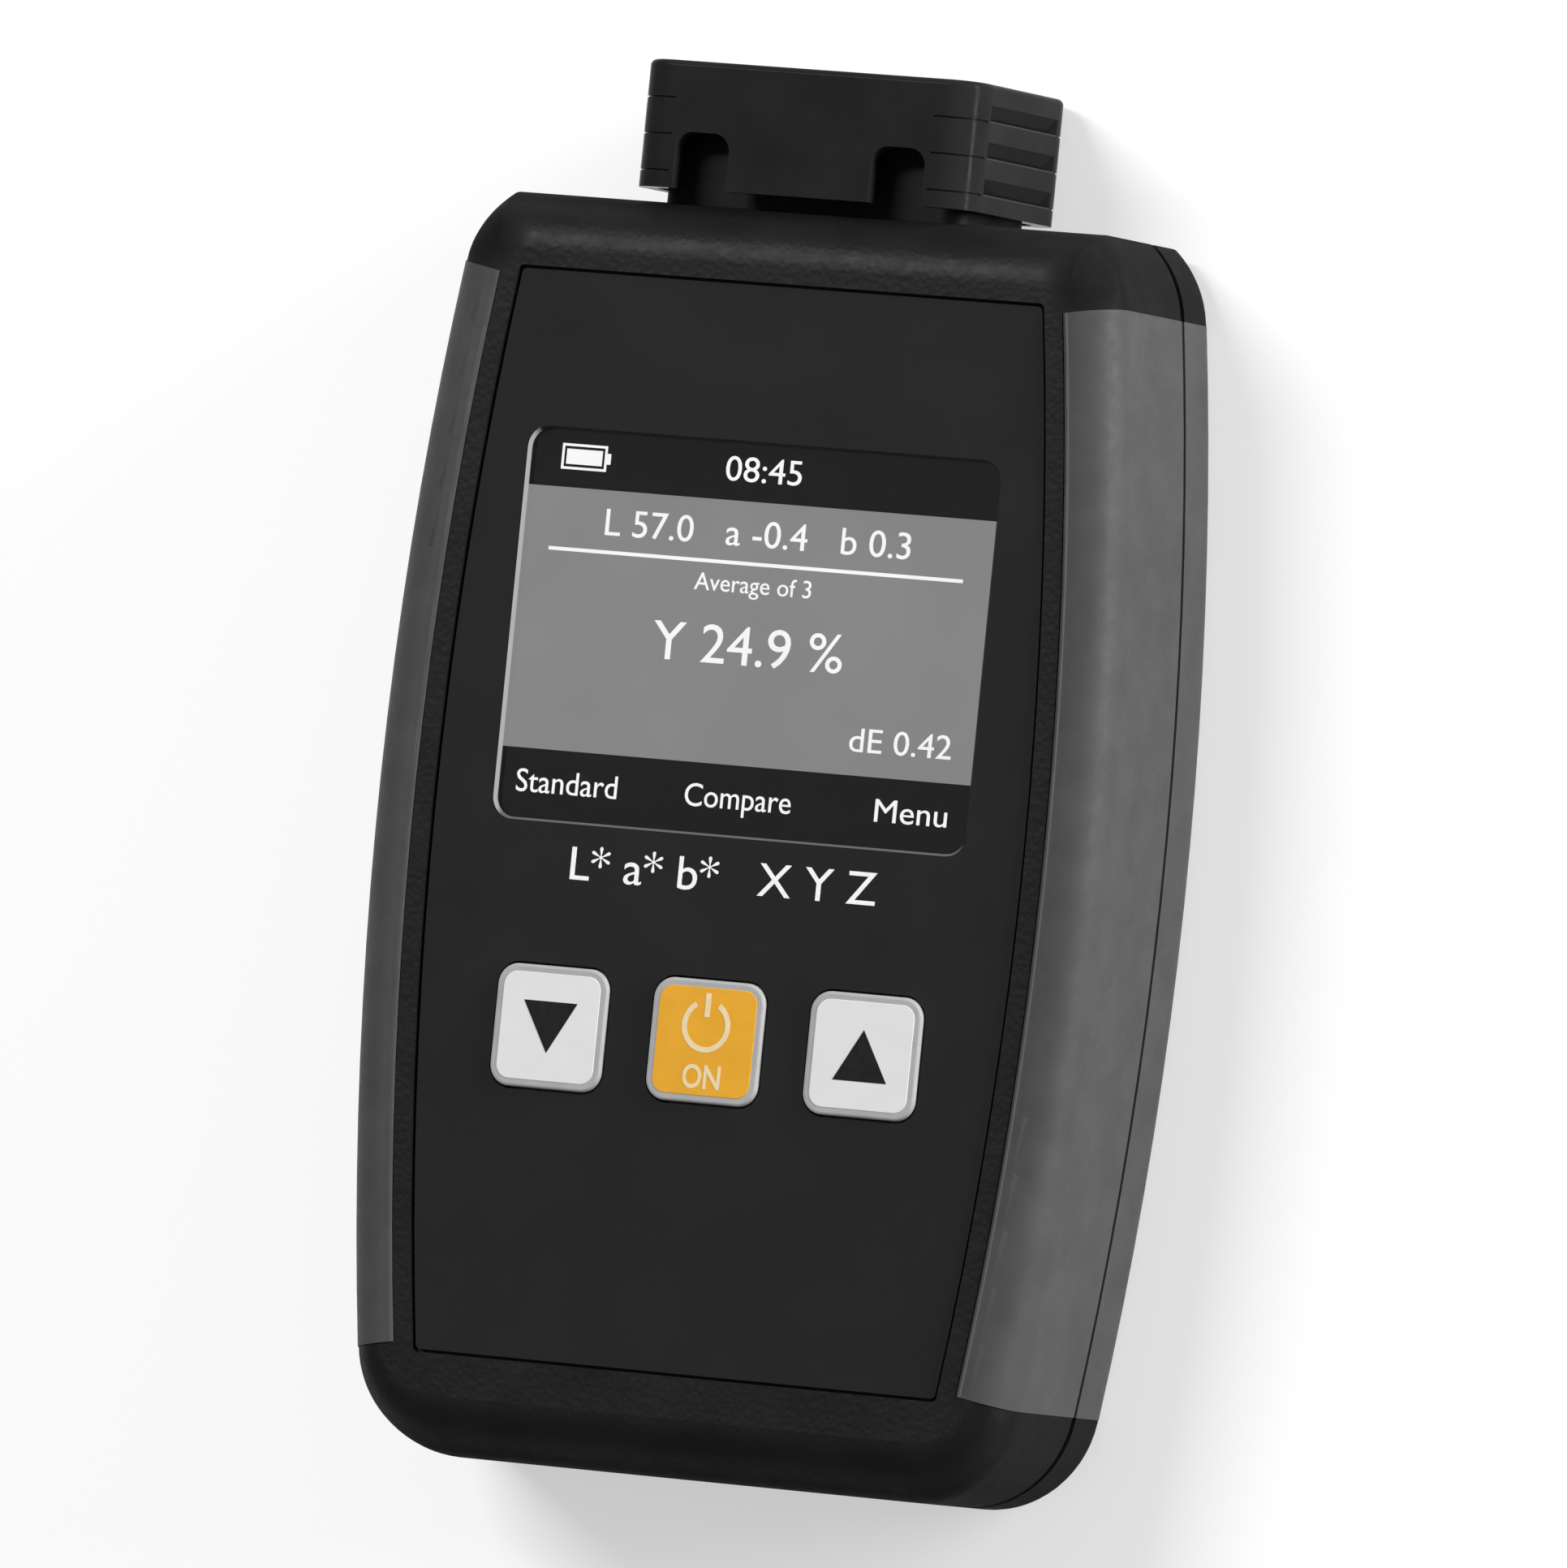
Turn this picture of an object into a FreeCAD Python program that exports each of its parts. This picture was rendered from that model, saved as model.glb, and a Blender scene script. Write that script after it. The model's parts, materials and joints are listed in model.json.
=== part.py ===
import FreeCAD, Part
import math
import os

# Handheld colorimeter with a pull-off measuring cap, in millimetres.
# X runs to the right as the keys are read, Y towards the measuring head, Z out of the front.
# The rear face lies on Z = 0, and the origin is under the middle of the whole length.

V = FreeCAD.Vector

# Case: two shells with drawn-in sides, a large round at the ends and a flat cut at the head
case_width = 89.2
case_depth = 27.4
case_length = 140.2
belly_to_foot = 71.5
side_bow = 4.2
corner_radius = 12.5
side_round = 4.5
end_round = 6.5
rear_round = 3.5
wall = 2.6
front_wall = 3.0
rear_wall = 2.2
split_height = 9.0
split_gap = 1.0
lip_height = 1.5
lip_thickness = 0.8
lip_clearance = 0.1

# Soft grips let into both shells
grip_length = 121.0
grip_band = 6.1
grip_depth = 0.8
grip_front_proud = 0.2
grip_side_proud = 0.05
grip_seam = 0.6
grip_edge_round = 0.6
grip_trim = 2.0
grip_end_slant = 10.0

# Fascia panel sunk into the front, with rails of the shell left beside it
rail_width = 2.5
fascia_length = 120.0
fascia_thickness = 0.6
fascia_sink = 0.3
fascia_clearance = 0.35
fascia_corner_radius = 0.6
window_bevel = 0.2

# Display: clear lens on the panel, carried by a frame on the board
screen_width = 57.6
screen_height = 43.2
screen_corner_radius = 2.3
screen_rise = 21.0
lens_margin = 2.0
lens_thickness = 0.8
lcd_thickness = 2.2
pane_clearance = 0.3
frame_height = 6.4
frame_rim = 1.5
frame_seat = 2.0
frame_lip = 0.7
flex_width = 20.0
flex_thickness = 0.2
flex_run = 16.0
flex_tail = 5.0

# Keys
key_size = 13.6
key_corner_radius = 2.4
key_pitch = 19.2
key_drop = 23.4
key_proud = 0.5
key_rim = 0.85
key_edge_round = 0.35
key_face_inlay = 0.5
key_face_proud = 0.08
key_clearance = 0.25
key_flange = 1.2
key_flange_thickness = 0.8
key_flange_gap = 0.2
key_stem_diameter = 4.4
switch_size = 6.0
switch_height = 3.5
plunger_diameter = 3.4
plunger_rise = 1.2
plunger_depth = 1.2
plunger_room = 0.8
plunger_clearance = 0.15

# Main board with its screws, chip and sockets
board_thickness = 1.6
board_side_gap = 6.2
board_foot_gap = 12.0
board_head_gap = 13.5
board_screw_side = 4.8
board_screw_inset = 4.0
board_boss_diameter = 6.0
screw_fit = 0.05
small_screw_diameter = 2.0
small_screw_length = 5.0
small_head_diameter = 3.8
small_head_height = 1.4
chip_size = 12.0
chip_height = 1.4
chip_rise = 22.0
socket_width = 22.0
socket_length = 4.0
socket_height = 1.8

# Case screws, driven from the rear
case_screw_side = 12.6
case_screw_foot = 8.0
case_screw_head = 9.0
case_screw_diameter = 2.9
case_screw_length = 13.0
case_head_diameter = 5.5
case_head_height = 2.2
case_head_sink = 1.6
drive_width = 1.5
drive_corner_radius = 0.3
drive_depth = 1.1
boss_diameter = 7.0
pillar_diameter = 8.6
bore_clearance = 0.2

# Measuring head: a neck through the flat end, with the optics inside
head_height = 13.1
neck_width = 37.2
neck_depth = 17.1
neck_corner_radius = 2.5
neck_reach = 11.1
neck_clearance = 0.2
flange_side_lap = 2.9
flange_face_lap = 0.85
flange_thickness = 2.0
gasket_thickness = 0.8
rib_width = 3.0
rib_thickness = 2.0
rib_clearance = 0.1
head_bore = 13.0
aperture_diameter = 8.0
ring_diameter = 18.0
ring_thickness = 1.4
ring_proud = 0.2
optic_diameter = 14.6
optic_thickness = 1.0
optic_clearance = 0.1
tunnel_diameter = 6.4
tunnel_bore = 4.4
tunnel_length = 10.0
diffuser_thickness = 1.2
diffuser_drop = 2.0
sensor_board_width = 36.0
sensor_board_depth = 15.0
sensor_board_thickness = 1.2
sensor_size = 3.0
sensor_height = 1.0
led_count = 8
led_circle_diameter = 9.7
led_length = 1.6
led_height = 0.9
head_screw_x = 14.0
ribbon_width = 12.0

# Measuring cap with its white reference tile
cap_width = 41.6
cap_depth = 25.4
cap_height = 14.2
cap_gap = 1.4
cap_corner_radius = 4.0
cap_edge_round = 0.7
cap_front_wall = 2.0
cap_top_wall = 2.2
cap_clearance = 0.3
slot_offset = 12.0
slot_width = 6.6
slot_height = 6.3
slot_corner_radius = 2.0
groove_count = 3
groove_pitch = 4.05
groove_height = 1.7
groove_deep = 0.7
groove_shallow = 0.1
groove_run_out = 1.2
groove_length = 17.4
groove_first = 2.0
slit_height = 0.2
slit_depth = 0.25
slit_run = 5.0
slit_start = 0.6
cap_rib_x = 4.5
cap_rib_width = 2.4
tile_diameter = 14.0
tile_thickness = 1.4
tile_clearance = 0.1
pad_thickness = 0.4
tile_sink = 1.0

# Battery bay in the rear shell, with its sliding door
cell_count = 4
cell_diameter = 10.5
cell_length = 43.7
cell_nub_diameter = 3.8
cell_nub_length = 0.8
cell_pitch = 11.4
cell_clearance = 0.3
bay_foot_gap = 10.5
tub_wall = 2.4
tub_roof = 1.4
contact_thickness = 0.4
contact_width = 8.0
contact_height = 8.0
contact_fit = 0.1
spring_length = 3.0
spring_width = 5.0
spring_height = 7.0
terminal_reach = 3.0
terminal_width = 3.0
lead_diameter = 1.2
door_lift = 0.3
door_ledge = 1.0
door_tongue = 1.2
door_clearance = 0.2
door_grip_count = 6
door_grip_pitch = 2.4
door_grip_width = 18.0
door_grip_depth = 0.5
door_grip_height = 1.2
door_grip_start = 8.0

# Shared by all cuts
overrun = 5.0
nearness = 0.001

# Levels and places that follow from the sizes above
overall_length = case_length + cap_gap + cap_height
belly_y = belly_to_foot - overall_length / 2
foot_y = belly_y - belly_to_foot
head_y = foot_y + case_length
half_width = case_width / 2
half_grip = grip_length / 2
side_radius = (half_grip ** 2 + side_bow ** 2) / (2 * side_bow)
side_centre = half_width - side_radius

fascia_top = case_depth - fascia_sink
fascia_floor = fascia_top - fascia_thickness
front_inner = case_depth - front_wall
lens_floor = fascia_floor - lens_thickness
lcd_floor = lens_floor - lcd_thickness
board_top = lcd_floor - frame_height
board_floor = board_top - board_thickness
screen_y = belly_y + screen_rise
key_y = belly_y - key_drop
key_top = fascia_top + key_proud
flange_top = front_inner - key_flange_gap
flange_floor = flange_top - key_flange_thickness
switch_top = board_top + switch_height
stem_floor = switch_top + plunger_rise
pane_width = screen_width + 2 * lens_margin
pane_height = screen_height + 2 * lens_margin

board_width = case_width - 2 * (wall + board_side_gap)
board_screw_x = board_width / 2 - board_screw_side
case_screw_x = half_width - case_screw_side
board_foot_y = foot_y + board_foot_gap
board_head_y = head_y - board_head_gap
screw_ys = (foot_y + case_screw_foot, head_y - case_screw_head)
board_screw_ys = (board_foot_y + board_screw_inset, board_head_y - board_screw_inset)

flange_width = neck_width + 2 * flange_side_lap
flange_depth = neck_depth + 2 * flange_face_lap
end_inner_y = head_y - wall
head_flange_y = end_inner_y - gasket_thickness
flange_back_y = head_flange_y - flange_thickness
sensor_back_y = flange_back_y - sensor_board_thickness
neck_end_y = head_y + neck_reach
ring_floor_y = neck_end_y + ring_proud - ring_thickness
optic_back_y = ring_floor_y - optic_thickness

cap_foot_y = head_y + cap_gap
cap_top_y = cap_foot_y + cap_height
cap_ceiling_y = cap_top_y - cap_top_wall
cap_cavity_width = neck_width + 2 * cap_clearance
cap_cavity_depth = cap_depth - 2 * cap_front_wall
pad_top_y = cap_ceiling_y + tile_sink
tile_top_y = pad_top_y - pad_thickness

door_top = rear_wall - door_clearance
cell_z = rear_wall + cell_clearance + cell_diameter / 2
bay_width = cell_count * cell_pitch
bay_length = cell_length + cell_nub_length + spring_length + 2 * contact_thickness + 2 * contact_fit
bay_foot_y = foot_y + bay_foot_gap
bay_head_y = bay_foot_y + bay_length
bay_ceiling = cell_z + cell_diameter / 2 + cell_clearance
bay_span = bay_width / 2
cell_xs = [(i - (cell_count - 1) / 2) * cell_pitch for i in range(cell_count)]
key_xs = {"key_down": -key_pitch, "key_ok": 0, "key_up": key_pitch}


def block(x0, x1, y0, y1, z0, z1):
    return Part.makeBox(x1 - x0, y1 - y0, z1 - z0, V(x0, y0, z0))


def rod_z(diameter, x, y, z0, z1):
    return Part.makeCylinder(diameter / 2, z1 - z0, V(x, y, z0), V(0, 0, 1))


def rod_y(diameter, x, z, y0, y1):
    return Part.makeCylinder(diameter / 2, y1 - y0, V(x, y0, z), V(0, 1, 0))


def edges_along(shape, axis):
    found = []
    for edge in shape.Edges:
        if edge.Curve.TypeId != "Part::GeomLine":
            continue
        way = edge.Vertexes[-1].Point - edge.Vertexes[0].Point
        if abs(abs(way.normalize().dot(axis)) - 1) < nearness:
            found.append(edge)
    return found


def plate(width, length, radius, x, y, z0, z1):
    # A rounded rectangle standing on XY
    body = block(x - width / 2, x + width / 2, y - length / 2, y + length / 2, z0, z1)
    return body.makeFillet(radius, edges_along(body, V(0, 0, 1)))


def bar(width, depth, radius, z, y0, y1):
    # A rounded rectangle in XZ, centred on X = 0 and drawn out along Y
    body = block(-width / 2, width / 2, y0, y1, z - depth / 2, z + depth / 2)
    return body.makeFillet(radius, edges_along(body, V(0, 1, 0)))


def join(shapes):
    return shapes[0].multiFuse(shapes[1:]).removeSplitter()


def side_point(inset, rise):
    # Half-width of the drawn-in side at a height above or below the belly
    return side_centre + math.sqrt((side_radius - inset) ** 2 - rise ** 2)


def case_outline(inset):
    # Side arcs, corner arcs that touch them, and straight ends; the head end cuts its corners short
    radius = corner_radius - inset
    rise = belly_to_foot - corner_radius
    across = math.sqrt((side_radius - corner_radius) ** 2 - rise ** 2)
    turn = math.atan2(rise, across)
    cx = side_centre + across

    def on_corner(angle):
        return cx + radius * math.cos(angle), rise + radius * math.sin(angle)

    edges = []
    for sy, reach in ((1, case_length - belly_to_foot - inset), (-1, belly_to_foot - inset)):
        stop = math.asin(min((reach - rise) / radius, 1))
        ends = []
        for sx in (1, -1):
            meet, bend, end = [V(sx * x, belly_y + sy * y, 0) for x, y in
                               map(on_corner, (turn, (turn + stop) / 2, stop))]
            edges.append(Part.Arc(meet, bend, end).toShape())
            ends.append(end)
        edges.append(Part.LineSegment(ends[0], ends[1]).toShape())
    x, y = on_corner(turn)
    for sx in (1, -1):
        low, high = V(sx * x, belly_y - y, 0), V(sx * x, belly_y + y, 0)
        edges.append(Part.Arc(low, V(sx * (half_width - inset), belly_y, 0), high).toShape())
    return Part.Wire(Part.__sortEdges__(edges))


def front_radius(point, inset):
    # Round of the front edge at a point where the outline changes: it grows round each corner to the end
    on_side = abs(point.x) > side_point(inset, point.y - belly_y) - nearness
    return (side_round if on_side else end_round) - inset


def case_body(inset, rear_z, front_z):
    # The outline drawn out along Z, with its rear and front edges rounded
    base = case_outline(inset)
    base.translate(V(0, 0, rear_z))
    solid = Part.Face(base).extrude(V(0, 0, front_z - rear_z))
    rounds = []
    for number, edge in enumerate(solid.Edges, 1):
        level = edge.CenterOfMass.z
        if abs(level - rear_z) < nearness:
            rounds.append((number, rear_round - inset, rear_round - inset))
        elif abs(level - front_z) < nearness:
            first, last = [front_radius(vertex.Point, inset) for vertex in edge.Vertexes]
            rounds.append((number, first, last))
    page = FreeCAD.newDocument()
    plain = page.addObject("Part::Feature", "plain")
    plain.Shape = solid
    rounded = page.addObject("Part::Fillet", "rounded")
    rounded.Base = plain
    rounded.Edges = rounds
    page.recompute()
    body = rounded.Shape.Solids[0]
    FreeCAD.closeDocument(page.Name)
    return body


def slab(z0, z1):
    return block(-case_width, case_width, foot_y - overrun, cap_top_y, z0, z1)


def lip_form(inset, z0, z1):
    base = case_outline(inset)
    base.translate(V(0, 0, z0))
    return Part.Face(base).extrude(V(0, 0, z1 - z0))


def side_strip(inset, reach, z0, z1):
    # What lies between the case's two side arcs, drawn in by an inset, with straight ends
    corner = side_point(inset, reach)
    belly = half_width - inset

    def at(x, rise):
        return V(x, belly_y + rise, z0)

    edges = [
        Part.Arc(at(corner, -reach), at(belly, 0), at(corner, reach)).toShape(),
        Part.LineSegment(at(corner, reach), at(-corner, reach)).toShape(),
        Part.Arc(at(-corner, reach), at(-belly, 0), at(-corner, -reach)).toShape(),
        Part.LineSegment(at(-corner, -reach), at(corner, -reach)).toShape(),
    ]
    return Part.Face(Part.Wire(edges)).extrude(V(0, 0, z1 - z0))


def long_edges(shape, level):
    # Edges that run the length of a grip at one level
    found = []
    for edge in shape.Edges:
        flat = edge.BoundBox.ZMin > level - nearness and edge.BoundBox.ZMax < level + nearness
        if flat and edge.Length > grip_length:
            found.append(edge)
    return found


def side_form(inset, reach, z0, z1, front, rear):
    # The middle stretch of the case, with the rounds of its side edges
    body = side_strip(inset, reach, z0, z1)
    body = body.makeFillet(front, long_edges(body, z1))
    return body.makeFillet(rear, long_edges(body, z0))


def grip_blank(reach):
    # Both grips, front and rear, before they are parted
    out = grip_side_proud
    outer = side_form(-out, reach, 0, case_depth + grip_front_proud, side_round + out, rear_round)
    inner = side_form(grip_depth, reach + overrun, grip_depth, case_depth - grip_depth,
                      side_round - grip_depth, rear_round - grip_depth)
    middle = side_strip(grip_band, reach + overrun, -overrun, case_depth + overrun)
    return outer.cut(inner).cut(middle)


def soften_grip(grip, level):
    # A small round along the inner edge that stands above the rail
    inner_edge = min(long_edges(grip, level), key=lambda edge: abs(edge.CenterOfMass.x))
    return grip.makeFillet(grip_edge_round, [inner_edge])


def grip_zone(way, z0, z1):
    # Plan of one side's grips: their ends slant with the drawn-in side, further out at the outside
    lean = math.tan(math.radians(grip_end_slant))
    end_x = side_point(0, half_grip)
    corners = []
    for x, end in ((0, -1), (case_width, -1), (case_width, 1), (0, 1), (0, -1)):
        rise = half_grip + (x - end_x) * lean
        corners.append(V(way * x, belly_y + end * rise, z0))
    return Part.Face(Part.makePolygon(corners)).extrude(V(0, 0, z1 - z0))


def grip_pockets(blank):
    return [blank.common(grip_zone(way, -overrun, case_depth + overrun)) for way in (-1, 1)]


def grips(blank):
    # The blank is a little long, so that the ends are cut clean after the edge is rounded
    made = {}
    top = case_depth + grip_front_proud
    for side, way in (("left", -1), ("right", 1)):
        x0, x1 = sorted((0, way * case_width))
        half = blank.common(block(x0, x1, foot_y, head_y, -overrun, case_depth + overrun)).Solids[0]
        half = soften_grip(half, top)
        for name, z0, z1 in (("front", split_height + grip_seam / 2, case_depth + overrun),
                             ("rear", -overrun, split_height - grip_seam / 2)):
            made["grip_" + name + "_" + side] = half.common(grip_zone(way, z0, z1)).Solids[0]
    return made


def fascia_blank(grow, z0, z1):
    # Panel outline: sides that follow the case, straight ends, small corner rounds
    body = side_strip(grip_band + rail_width - grow, fascia_length / 2 + grow, z0, z1)
    return body.makeFillet(fascia_corner_radius, edges_along(body, V(0, 0, 1)))


def key_hole(clearance, x, z0, z1):
    size = key_size + 2 * clearance
    return plate(size, size, key_corner_radius + clearance, x, key_y, z0, z1)


def front_fascia():
    panel = fascia_blank(0, fascia_floor, fascia_top)
    window = plate(screen_width, screen_height, screen_corner_radius, 0, screen_y,
                   fascia_floor - overrun, fascia_top + overrun)
    panel = panel.cut(window)
    rim = []
    for edge in panel.Edges:
        box = edge.BoundBox
        on_top = box.ZMin > fascia_top - nearness
        across = max(abs(box.XMin), abs(box.XMax)) < screen_width / 2 + nearness
        along = max(abs(box.YMin - screen_y), abs(box.YMax - screen_y)) < screen_height / 2 + nearness
        if on_top and across and along:
            rim.append(edge)
    panel = panel.makeChamfer(window_bevel, rim)
    return panel.cut([key_hole(key_clearance, x, fascia_floor - overrun, fascia_top + overrun)
                      for x in key_xs.values()])


def neck_opening():
    width = neck_width + 2 * neck_clearance
    depth = neck_depth + 2 * neck_clearance
    radius = neck_corner_radius + neck_clearance
    return bar(width, depth, radius, head_height, end_inner_y - overrun, head_y + overrun)


def front_shell(outer, cavity, pockets):
    upper = slab(split_height + split_gap / 2, case_depth + overrun)
    shell = outer.common(upper).cut(cavity)
    lip_room = split_height + lip_height + lip_clearance
    shell = shell.cut(lip_form(wall - lip_thickness - lip_clearance, 0, lip_room))
    posts = []
    for x in (-case_screw_x, case_screw_x):
        for y in screw_ys:
            posts.append(rod_z(boss_diameter, x, y, split_height, front_inner + nearness))
    for x in (-board_screw_x, board_screw_x):
        for y in board_screw_ys:
            posts.append(rod_z(board_boss_diameter, x, y, board_top, front_inner + nearness))
    rib_y = flange_back_y - rib_clearance
    for side in (-1, 1):
        x0, x1 = sorted((side * (flange_width / 2 - rib_width), side * flange_width / 2))
        posts.append(block(x0, x1, rib_y - rib_thickness, rib_y, head_height, front_inner + nearness))
    shell = join([shell] + [post.common(outer) for post in posts])
    cuts = pockets + [fascia_blank(fascia_clearance, fascia_floor, case_depth + overrun), neck_opening()]
    cuts.append(bar(flange_width + 2 * neck_clearance, flange_depth + 2 * neck_clearance,
                    neck_corner_radius, head_height, flange_back_y, end_inner_y))
    cuts.append(plate(pane_width + 2 * pane_clearance, pane_height + 2 * pane_clearance,
                      screen_corner_radius, 0, screen_y, front_inner - overrun, case_depth))
    for x in key_xs.values():
        cuts.append(key_hole(key_clearance, x, front_inner - overrun, case_depth))
    for x in (-case_screw_x, case_screw_x):
        for y in screw_ys:
            top = case_head_sink + case_head_height + case_screw_length + bore_clearance
            cuts.append(rod_z(case_screw_diameter + 2 * screw_fit, x, y, 0, top))
    for x in (-board_screw_x, board_screw_x):
        for y in board_screw_ys:
            top = board_floor + small_screw_length + bore_clearance
            cuts.append(rod_z(small_screw_diameter + 2 * screw_fit, x, y, 0, top))
    return shell.cut(cuts)


def door_track():
    # Narrow mouth at the rear face, wider above it for the door's tongues, open at the foot
    start = foot_y - overrun
    mouth = block(-bay_span, bay_span, start, bay_head_y, -overrun, door_ledge + nearness)
    wide = bay_span + door_tongue + door_clearance
    return join([mouth, block(-wide, wide, start, bay_head_y, door_ledge, rear_wall)])


def rear_shell(outer, cavity, pockets):
    lower = slab(-overrun, split_height - split_gap / 2)
    shell = outer.common(lower).cut(cavity)
    lip_foot, lip_top = rear_wall + rear_round, split_height + lip_height
    extra = [lip_form(wall - lip_thickness, lip_foot, lip_top).cut(lip_form(wall, lip_foot, lip_top))]
    for x in (-case_screw_x, case_screw_x):
        for y in screw_ys:
            extra.append(rod_z(pillar_diameter, x, y, rear_wall / 2, split_height).common(outer))
    tub = block(-bay_span - tub_wall, bay_span + tub_wall, bay_foot_y - tub_wall, bay_head_y + tub_wall,
                rear_wall / 2, bay_ceiling + tub_roof)
    shell = join([shell, tub] + extra)
    cuts = [block(-bay_span, bay_span, bay_foot_y, bay_head_y, -overrun, bay_ceiling), door_track()]
    cuts += pockets + [neck_opening()]
    for x in (-case_screw_x, case_screw_x):
        for y in screw_ys:
            seat = case_head_sink + case_head_height
            cuts.append(rod_z(case_head_diameter + 2 * bore_clearance, x, y, -overrun, seat))
            cuts.append(rod_z(case_screw_diameter + 2 * bore_clearance, x, y, 0, split_height + overrun))
    for x in (cell_xs[0], cell_xs[-1]):
        cuts.append(terminal_form(x, contact_fit))
    return shell.cut(cuts)


def battery_door(outer):
    head = bay_head_y - door_clearance
    span = bay_span - door_clearance
    leaf = outer.common(block(-span, span, foot_y - overrun, head, door_lift, door_top))
    wide = bay_span + door_tongue
    tongue_floor = door_ledge + door_clearance / 2
    start = foot_y + rear_round
    door = join([leaf, block(-wide, wide, start, head, tongue_floor, door_top)])
    grooves = []
    for i in range(door_grip_count):
        y = head - door_grip_start - i * door_grip_pitch
        grooves.append(block(-door_grip_width / 2, door_grip_width / 2, y, y + door_grip_height,
                             door_lift - overrun, door_lift + door_grip_depth))
    return door.cut(grooves)


def battery_cells():
    cells = []
    for i, x in enumerate(cell_xs):
        nub_up = i % 2 == 0
        low = bay_foot_y + contact_thickness + contact_fit
        if nub_up:
            low += spring_length
        can = low if nub_up else low + cell_nub_length
        nub = can + cell_length if nub_up else low
        body = rod_y(cell_diameter, x, cell_z, can, can + cell_length)
        cells.append(body.fuse(rod_y(cell_nub_diameter, x, cell_z, nub, nub + cell_nub_length)))
    return Part.makeCompound(cells)


def terminal_form(x, grow):
    # Tab that carries an outer contact through the bay's head wall
    tall = contact_thickness / 2 + grow
    return block(x - terminal_width / 2 - grow, x + terminal_width / 2 + grow,
                 bay_head_y - contact_thickness, bay_head_y + tub_wall + terminal_reach,
                 cell_z - tall, cell_z + tall)


def contact_plates():
    # Two bridges at the foot, a bridge between two terminals at the head
    low, high = cell_z - contact_height / 2, cell_z + contact_height / 2
    half = contact_width / 2
    foot0, foot1 = bay_foot_y, bay_foot_y + contact_thickness
    head0, head1 = bay_head_y - contact_thickness, bay_head_y
    plates = []
    for i in range(0, cell_count, 2):
        plates.append(block(cell_xs[i] - half, cell_xs[i + 1] + half, foot0, foot1, low, high))
    for i in range(1, cell_count - 1, 2):
        plates.append(block(cell_xs[i] - half, cell_xs[i + 1] + half, head0, head1, low, high))
    for x in (cell_xs[0], cell_xs[-1]):
        flat = block(x - half, x + half, head0, head1, low, high)
        plates.append(join([flat, terminal_form(x, 0)]))
    return Part.makeCompound(plates)


def roof(x, y, way):
    # Bent leaf: two sloping arms from the contact plate to a ridge at the cell
    def point(reach, rise):
        return V(x - spring_width / 2, y + way * reach, cell_z + rise)

    half = spring_height / 2
    slope = half / spring_length
    inner = spring_length - contact_thickness
    loop = [point(0, -half), point(spring_length, 0), point(0, half), point(0, inner * slope),
            point(inner, 0), point(0, -inner * slope), point(0, -half)]
    return Part.Face(Part.makePolygon(loop)).extrude(V(spring_width, 0, 0))


def contact_springs():
    springs = []
    for i, x in enumerate(cell_xs):
        if i % 2 == 0:
            springs.append(roof(x, bay_foot_y + contact_thickness, 1))
        else:
            springs.append(roof(x, bay_head_y - contact_thickness, -1))
    return Part.makeCompound(springs)


def battery_leads():
    leads = []
    y = bay_head_y + tub_wall + terminal_reach / 2
    for x in (cell_xs[0], cell_xs[-1]):
        leads.append(rod_z(lead_diameter, x, y, cell_z + contact_thickness / 2, board_floor))
    return Part.makeCompound(leads)


def case_screws():
    screws = []
    seat = case_head_sink + case_head_height
    for x in (-case_screw_x, case_screw_x):
        for y in screw_ys:
            head = rod_z(case_head_diameter, x, y, case_head_sink, seat)
            shank = rod_z(case_screw_diameter, x, y, seat, seat + case_screw_length)
            drive = plate(drive_width, drive_width, drive_corner_radius, x, y,
                          0, case_head_sink + drive_depth)
            screws.append(head.fuse(shank).cut(drive))
    return Part.makeCompound(screws)


def display_lens():
    return plate(pane_width, pane_height, screen_corner_radius, 0, screen_y, lens_floor, fascia_floor)


def lcd_panel():
    return plate(pane_width, pane_height, screen_corner_radius, 0, screen_y, lcd_floor, lens_floor)


def lcd_frame():
    outer = plate(pane_width + 2 * frame_rim, pane_height + 2 * frame_rim, screen_corner_radius, 0, screen_y,
                  board_top, lcd_floor + frame_lip)
    seat = plate(pane_width + pane_clearance, pane_height + pane_clearance, screen_corner_radius,
                 0, screen_y, lcd_floor, lcd_floor + overrun)
    middle = plate(pane_width - 2 * frame_seat, pane_height - 2 * frame_seat, screen_corner_radius,
                   0, screen_y, board_top - overrun, lcd_floor + overrun)
    return outer.cut([seat, middle])


def lcd_flex():
    # Ribbon that leaves the panel's back, turns over and runs into its socket on the board
    top = lcd_floor
    low = board_top + socket_height / 2 - flex_thickness / 2
    outer = (top - low) / 2
    inner = outer - flex_thickness
    turn_y = screen_y - pane_height / 2 + frame_seat + flex_tail + outer
    middle = low + outer

    def at(y, z):
        return V(-flex_width / 2, y, z)

    tail_y, back_y = turn_y + flex_tail, turn_y + flex_run
    low_top, top_under = low + flex_thickness, top - flex_thickness
    loop = [
        Part.LineSegment(at(back_y, top), at(turn_y, top)).toShape(),
        Part.Arc(at(turn_y, top), at(turn_y - outer, middle), at(turn_y, low)).toShape(),
        Part.LineSegment(at(turn_y, low), at(tail_y, low)).toShape(),
        Part.LineSegment(at(tail_y, low), at(tail_y, low_top)).toShape(),
        Part.LineSegment(at(tail_y, low_top), at(turn_y, low_top)).toShape(),
        Part.Arc(at(turn_y, low_top), at(turn_y - inner, middle), at(turn_y, top_under)).toShape(),
        Part.LineSegment(at(turn_y, top_under), at(back_y, top_under)).toShape(),
        Part.LineSegment(at(back_y, top_under), at(back_y, top)).toShape(),
    ]
    return Part.Face(Part.Wire(loop)).extrude(V(flex_width, 0, 0))


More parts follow.
